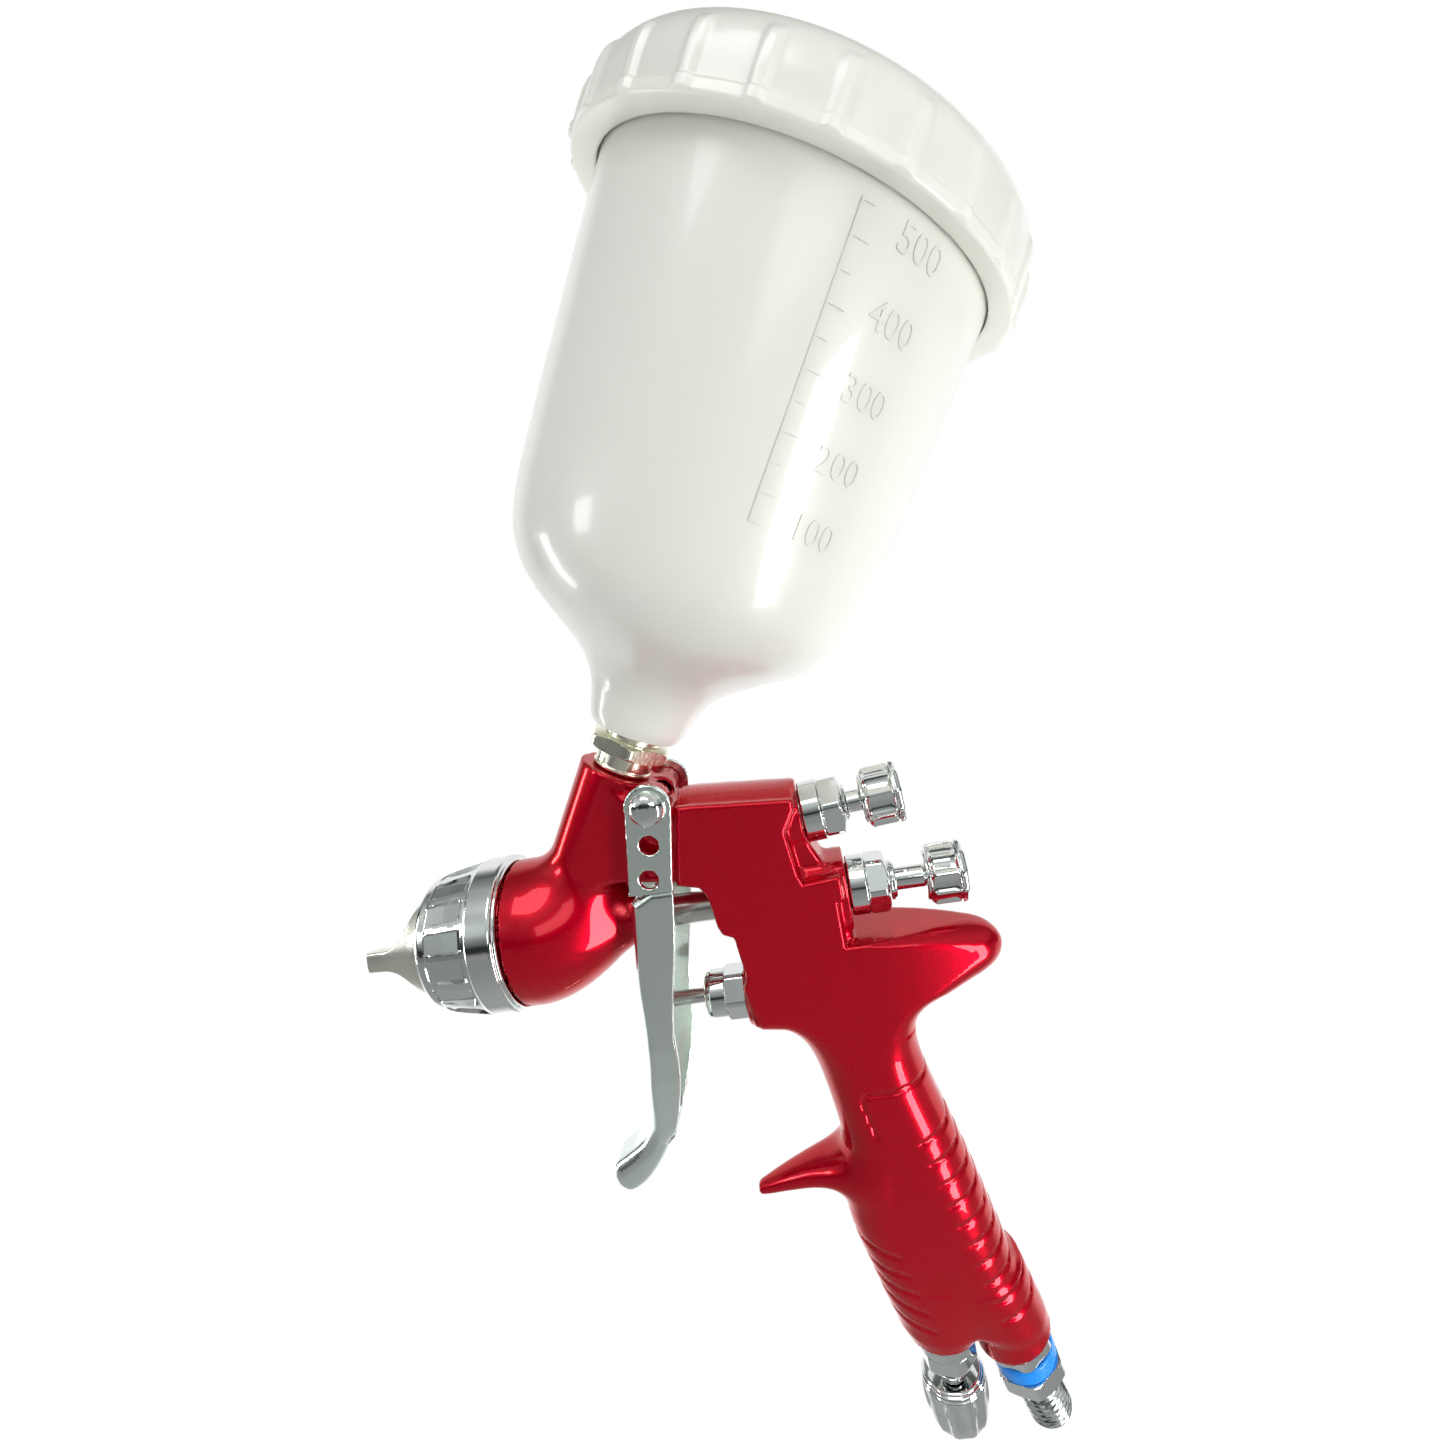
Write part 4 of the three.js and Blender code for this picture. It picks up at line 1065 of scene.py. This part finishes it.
FINISHES = {
    "red_paint": make_material(
        "candy_red", (0.50, 0.0004, 0.014), 0.26, 0.6, 0.65, 0.015, 0.004, 2500, 0.05, 0.05,
        edge=(0.75, 0.05, 0.08), coat_ior=1.4, gloss=0.15,
    ),
    "brushed_nickel": make_material(
        "brushed_nickel", (0.90, 0.89, 0.74), 0.22, 1, 0, 0, 0.12, 700, 0.08, 0.05, stretch=(3, 3, 0.25)
    ),
    "cup_plastic": make_material(
        "milky_plastic", (0.875, 0.875, 0.79), 0.3, 0, 0.4, 0.05, 0.02, 260, 0.012, 0.04, subsurface=0.3
    ),
}
for slot, *finish in (
    ("chrome", "bright_chrome", (0.74, 0.76, 0.75), 0.07, 1, 0, 0, 0.015, 1400, 0.03, 0.03),
    ("cast_chrome", "cast_chrome", (0.80, 0.87, 0.83), 0.15, 1, 0, 0, 0.09, 2200, 0.04, 0.07),
    ("nickel", "satin_nickel", (0.82, 0.82, 0.73), 0.30, 1, 0, 0, 0.06, 3500, 0.08, 0.08),
    ("steel", "turned_steel", (0.60, 0.59, 0.56), 0.24, 1, 0, 0, 0.05, 3000, 0.06, 0.06),
    ("brass", "turned_brass", (0.62, 0.42, 0.16), 0.28, 1, 0, 0, 0.04, 2600, 0.08, 0.06),
    ("seal_white", "white_seal", (0.78, 0.78, 0.74), 0.55, 0, 0, 0, 0.05, 1500, 0.03, 0.05),
    ("blue_plastic", "blue_ring", (0.006, 0.26, 0.86), 0.38, 0, 0.2, 0.1, 0.04, 1800, 0.06, 0.06),
    ("rubber_black", "black_rubber", (0.02, 0.02, 0.021), 0.62, 0, 0, 0, 0.08, 2200, 0.15, 0.08),
):
    FINISHES[slot] = make_material(*finish)
# pieces whose surface differs from the other pieces in their material slot
SPECIAL = {"trigger_plate": "cast_chrome", "cup_stem": "brushed_nickel"}


def paint_all():
    slots = {row["node"]: row["material_slot"] for row in frame["record"]["subparts"]}
    for name, node in frame["nodes"].items():
        node.data.materials.clear()
        node.data.materials.append(FINISHES[slots[name]])
        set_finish(node, slots[name])
    for piece in bpy.context.scene.objects:
        if piece.type == "MESH" and "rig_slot" in piece and not piece.data.materials:
            piece.data.materials.append(FINISHES[SPECIAL.get(piece.name, piece["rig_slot"])])


# ---- studio
LIGHTS_MIDDLE = (Vector(CAD_BOX[0]) + Vector(CAD_BOX[1])) / 2 - Vector((0, 0, 0.03))


def soft_box(name, way, distance, size, brightness):
    """A glowing rectangle that faces the gun from the direction way."""
    lamp = bpy.data.lights.new(name, "AREA")
    lamp.shape = "RECTANGLE"
    lamp.size, lamp.size_y = size
    lamp.energy = brightness * math.pi * size[0] * size[1]
    holder = bpy.data.objects.new(name, lamp)
    bpy.context.scene.collection.objects.link(holder)
    holder.location = LIGHTS_MIDDLE + Vector(way).normalized() * distance
    holder.rotation_euler = (LIGHTS_MIDDLE - holder.location).to_track_quat("-Z", "Y").to_euler()


def camera_axes():
    """Right, up and back directions of the camera, from its yaw, pitch and roll round the view along +Y."""
    turns = (("Z", -10.36), ("X", 10.09), ("Y", 5.74), ("X", 90))
    look = Matrix.Identity(3)
    for way, degrees in turns:
        look = look @ Matrix.Rotation(math.radians(degrees), 3, way)
    return look[0], -look[1], -look[2]


def make_camera():
    lens = bpy.data.cameras.new("camera")
    lens.sensor_width = 36
    lens.lens = 17.92
    lens.shift_x, lens.shift_y = -0.01467, 0.0105
    lens.clip_start, lens.clip_end = 0.01, 20
    camera = bpy.data.objects.new("camera", lens)
    bpy.context.scene.collection.objects.link(camera)
    spot = ORIGIN + Vector((42.49, -181.99, 76.55)) * MM
    rows = [[*axes, at] for *axes, at in zip(*camera_axes(), spot)]
    camera.matrix_world = Matrix([*rows, [0, 0, 0, 1]])
    bpy.context.scene.camera = camera


def ramp(tree, stops):
    """A colour ramp from (position, colour) stops."""
    made = add_node(tree, "ValToRGB")
    while len(made.color_ramp.elements) < len(stops):
        made.color_ramp.elements.new(0.5)
    for element, (at, level) in zip(made.color_ramp.elements, stops):
        element.position = at
        element.color = (*level, 1)
    return made


def between(tree, low, high, to_low=0.0, to_high=1.0):
    """A value that goes from to_low to to_high while its input goes from low to high."""
    return add_node(tree, "MapRange", From_Min=low, From_Max=high, To_Min=to_low, To_Max=to_high)


def multiplied(tree):
    made = add_node(tree, "MixRGB", Fac=1)
    made.blend_type = "MULTIPLY"
    return made


ROOM = [
    (0.0, (0.30, 0.30, 0.30)), (0.49, (0.30, 0.30, 0.30)), (0.52, (0.05, 0.05, 0.055)),
    (0.57, (0.04, 0.04, 0.045)), (0.61, (0.24, 0.26, 0.25)), (0.70, (0.49, 0.53, 0.51)),
    (0.86, (0.72, 0.76, 0.73)), (1.0, (0.42, 0.43, 0.43)),
]


def make_world():
    """The light round the gun: white far behind it, elsewhere a dim room with a dark horizon and a pale,
    patchy upper half."""
    world = bpy.data.worlds.new("studio")
    bpy.context.scene.world = world
    tree = new_tree(world)
    where = add_node(tree, "TexCoord")
    parts = add_node(tree, "SeparateXYZ")
    patches = add_node(tree, "TexNoise", Scale=2.2, Detail=1)
    height = between(tree, -1, 1)
    room = ramp(tree, ROOM)
    level = ramp(tree, [(0.37, (0.6, 0.6, 0.62)), (0.63, (1.15, 1.15, 1.15))])
    depth = between(tree, -0.1, 0.4, 1, 0.25)
    uneven, dim = multiplied(tree), multiplied(tree)
    below, side = between(tree, 0.6, 0.8, 1, 0), between(tree, 0.4, 0.6)
    seen = add_node(tree, "Math")
    seen.operation = "MULTIPLY"
    tent = add_node(tree, "MixRGB", Color2=(1, 1, 1, 1))
    sky = add_node(tree, "Background", Strength=1.02)
    connect(
        tree,
        (where, "Generated", parts, 0),
        (where, "Generated", patches, "Vector"),
        (patches, "Fac", level, "Fac"),
        (parts, "Z", height, "Value"),
        (parts, "Z", below, "Value"),
        (parts, "Y", side, "Value"),
        (parts, "Y", depth, "Value"),
        (height, "Result", room, "Fac"),
        (room, "Color", uneven, "Color1"),
        (level, "Color", uneven, "Color2"),
        (uneven, "Color", dim, "Color1"),
        (depth, "Result", dim, "Color2"),
        (side, "Result", seen, 0),
        (below, "Result", seen, 1),
        (seen, "Value", tent, "Fac"),
        (dim, "Color", tent, "Color1"),
        (tent, "Color", sky, "Color"),
        (sky, "Background", add_node(tree, "OutputWorld"), "Surface"),
    )


def stage_sheet(name, points, faces, material):
    sheet = bpy.data.meshes.new(name)
    sheet.from_pydata(points, [], faces)
    sheet.materials.append(material)
    thing = bpy.data.objects.new(name, sheet)
    bpy.context.scene.collection.objects.link(thing)
    return thing


def make_backdrop(floor_z, rings=12, sides=32, radius=9.0):
    """A plain white shell with a flat white bottom at the floor. It gives no light and no reflection."""
    white = bpy.data.materials.new("white_backdrop")
    tree = new_tree(white)
    glow = add_node(tree, "Emission")
    connect(tree, (glow, "Emission", add_node(tree, "OutputMaterial"), "Surface"))
    points, faces = [], []
    for lift in np.linspace(-math.pi / 2, math.pi / 2, rings + 1):
        reach, z = radius * math.cos(lift), max(floor_z, radius * math.sin(lift))
        for turn in np.arange(sides) * 2 * math.pi / sides:
            points.append((reach * math.cos(turn), reach * math.sin(turn), z))
    for first in range(0, rings * sides, sides):
        for i in range(sides):
            j = (i + 1) % sides
            faces.append((first + i, first + j, first + sides + j, first + sides + i))
    shell = stage_sheet("backdrop", points, faces, white)
    shell.visible_diffuse = shell.visible_glossy = shell.visible_transmission = shell.visible_shadow = False


def make_floor(floor_z, size=6.0):
    """A pale floor that lights the gun from below, and brighter far behind it."""
    pale = make_material("pale_floor", (0.5, 0.5, 0.5), 0.9, 0, 0, 0, 0.0, 20, 0.01, 0.02)
    tree = pale.node_tree
    shader = tree.nodes["Principled BSDF"]
    shader.inputs["Emission Color"].default_value = (1, 1, 1, 1)
    parts = add_node(tree, "SeparateXYZ")
    behind = between(tree, 0.05, 0.37, 0.04, 0.95)
    connect(
        tree,
        (tree.nodes["Texture Coordinate"], "Object", parts, 0),
        (parts, "Y", behind, "Value"),
        (behind, "Result", shader, "Emission Strength"),
    )
    corners = [(x * size, y * size, floor_z) for x, y in ((-1, -1), (1, -1), (1, 1), (-1, 1))]
    floor = stage_sheet("floor", corners, [(0, 1, 2, 3)], pale)
    floor.visible_camera = False


def make_studio():
    bpy.context.scene.view_settings.view_transform = "Standard"
    floor_z = CAD_BOX[0][2] - 0.6
    make_camera()
    make_floor(floor_z)
    make_backdrop(floor_z)
    make_world()
    soft_box("right", (0.70, -0.62, -0.24), 0.5, (0.13, 0.42), 12)
    soft_box("left", (-0.97, 0.06, 0.12), 0.6, (0.08, 0.36), 9)
    soft_box("window", (-0.80, -0.45, 0.40), 0.8, (0.15, 0.15), 9)
    soft_box("front", (0.35, -0.88, 0.36), 1.2, (0.5, 0.3), 2.2)
    soft_box("top", (-0.1, -0.5, 0.9), 0.9, (0.5, 0.4), 3.5)


make_body()
make_head()
make_controls()
make_trigger()
make_lower_fittings()
make_cup()
make_scale()
make_lid()
paint_all()
make_studio()
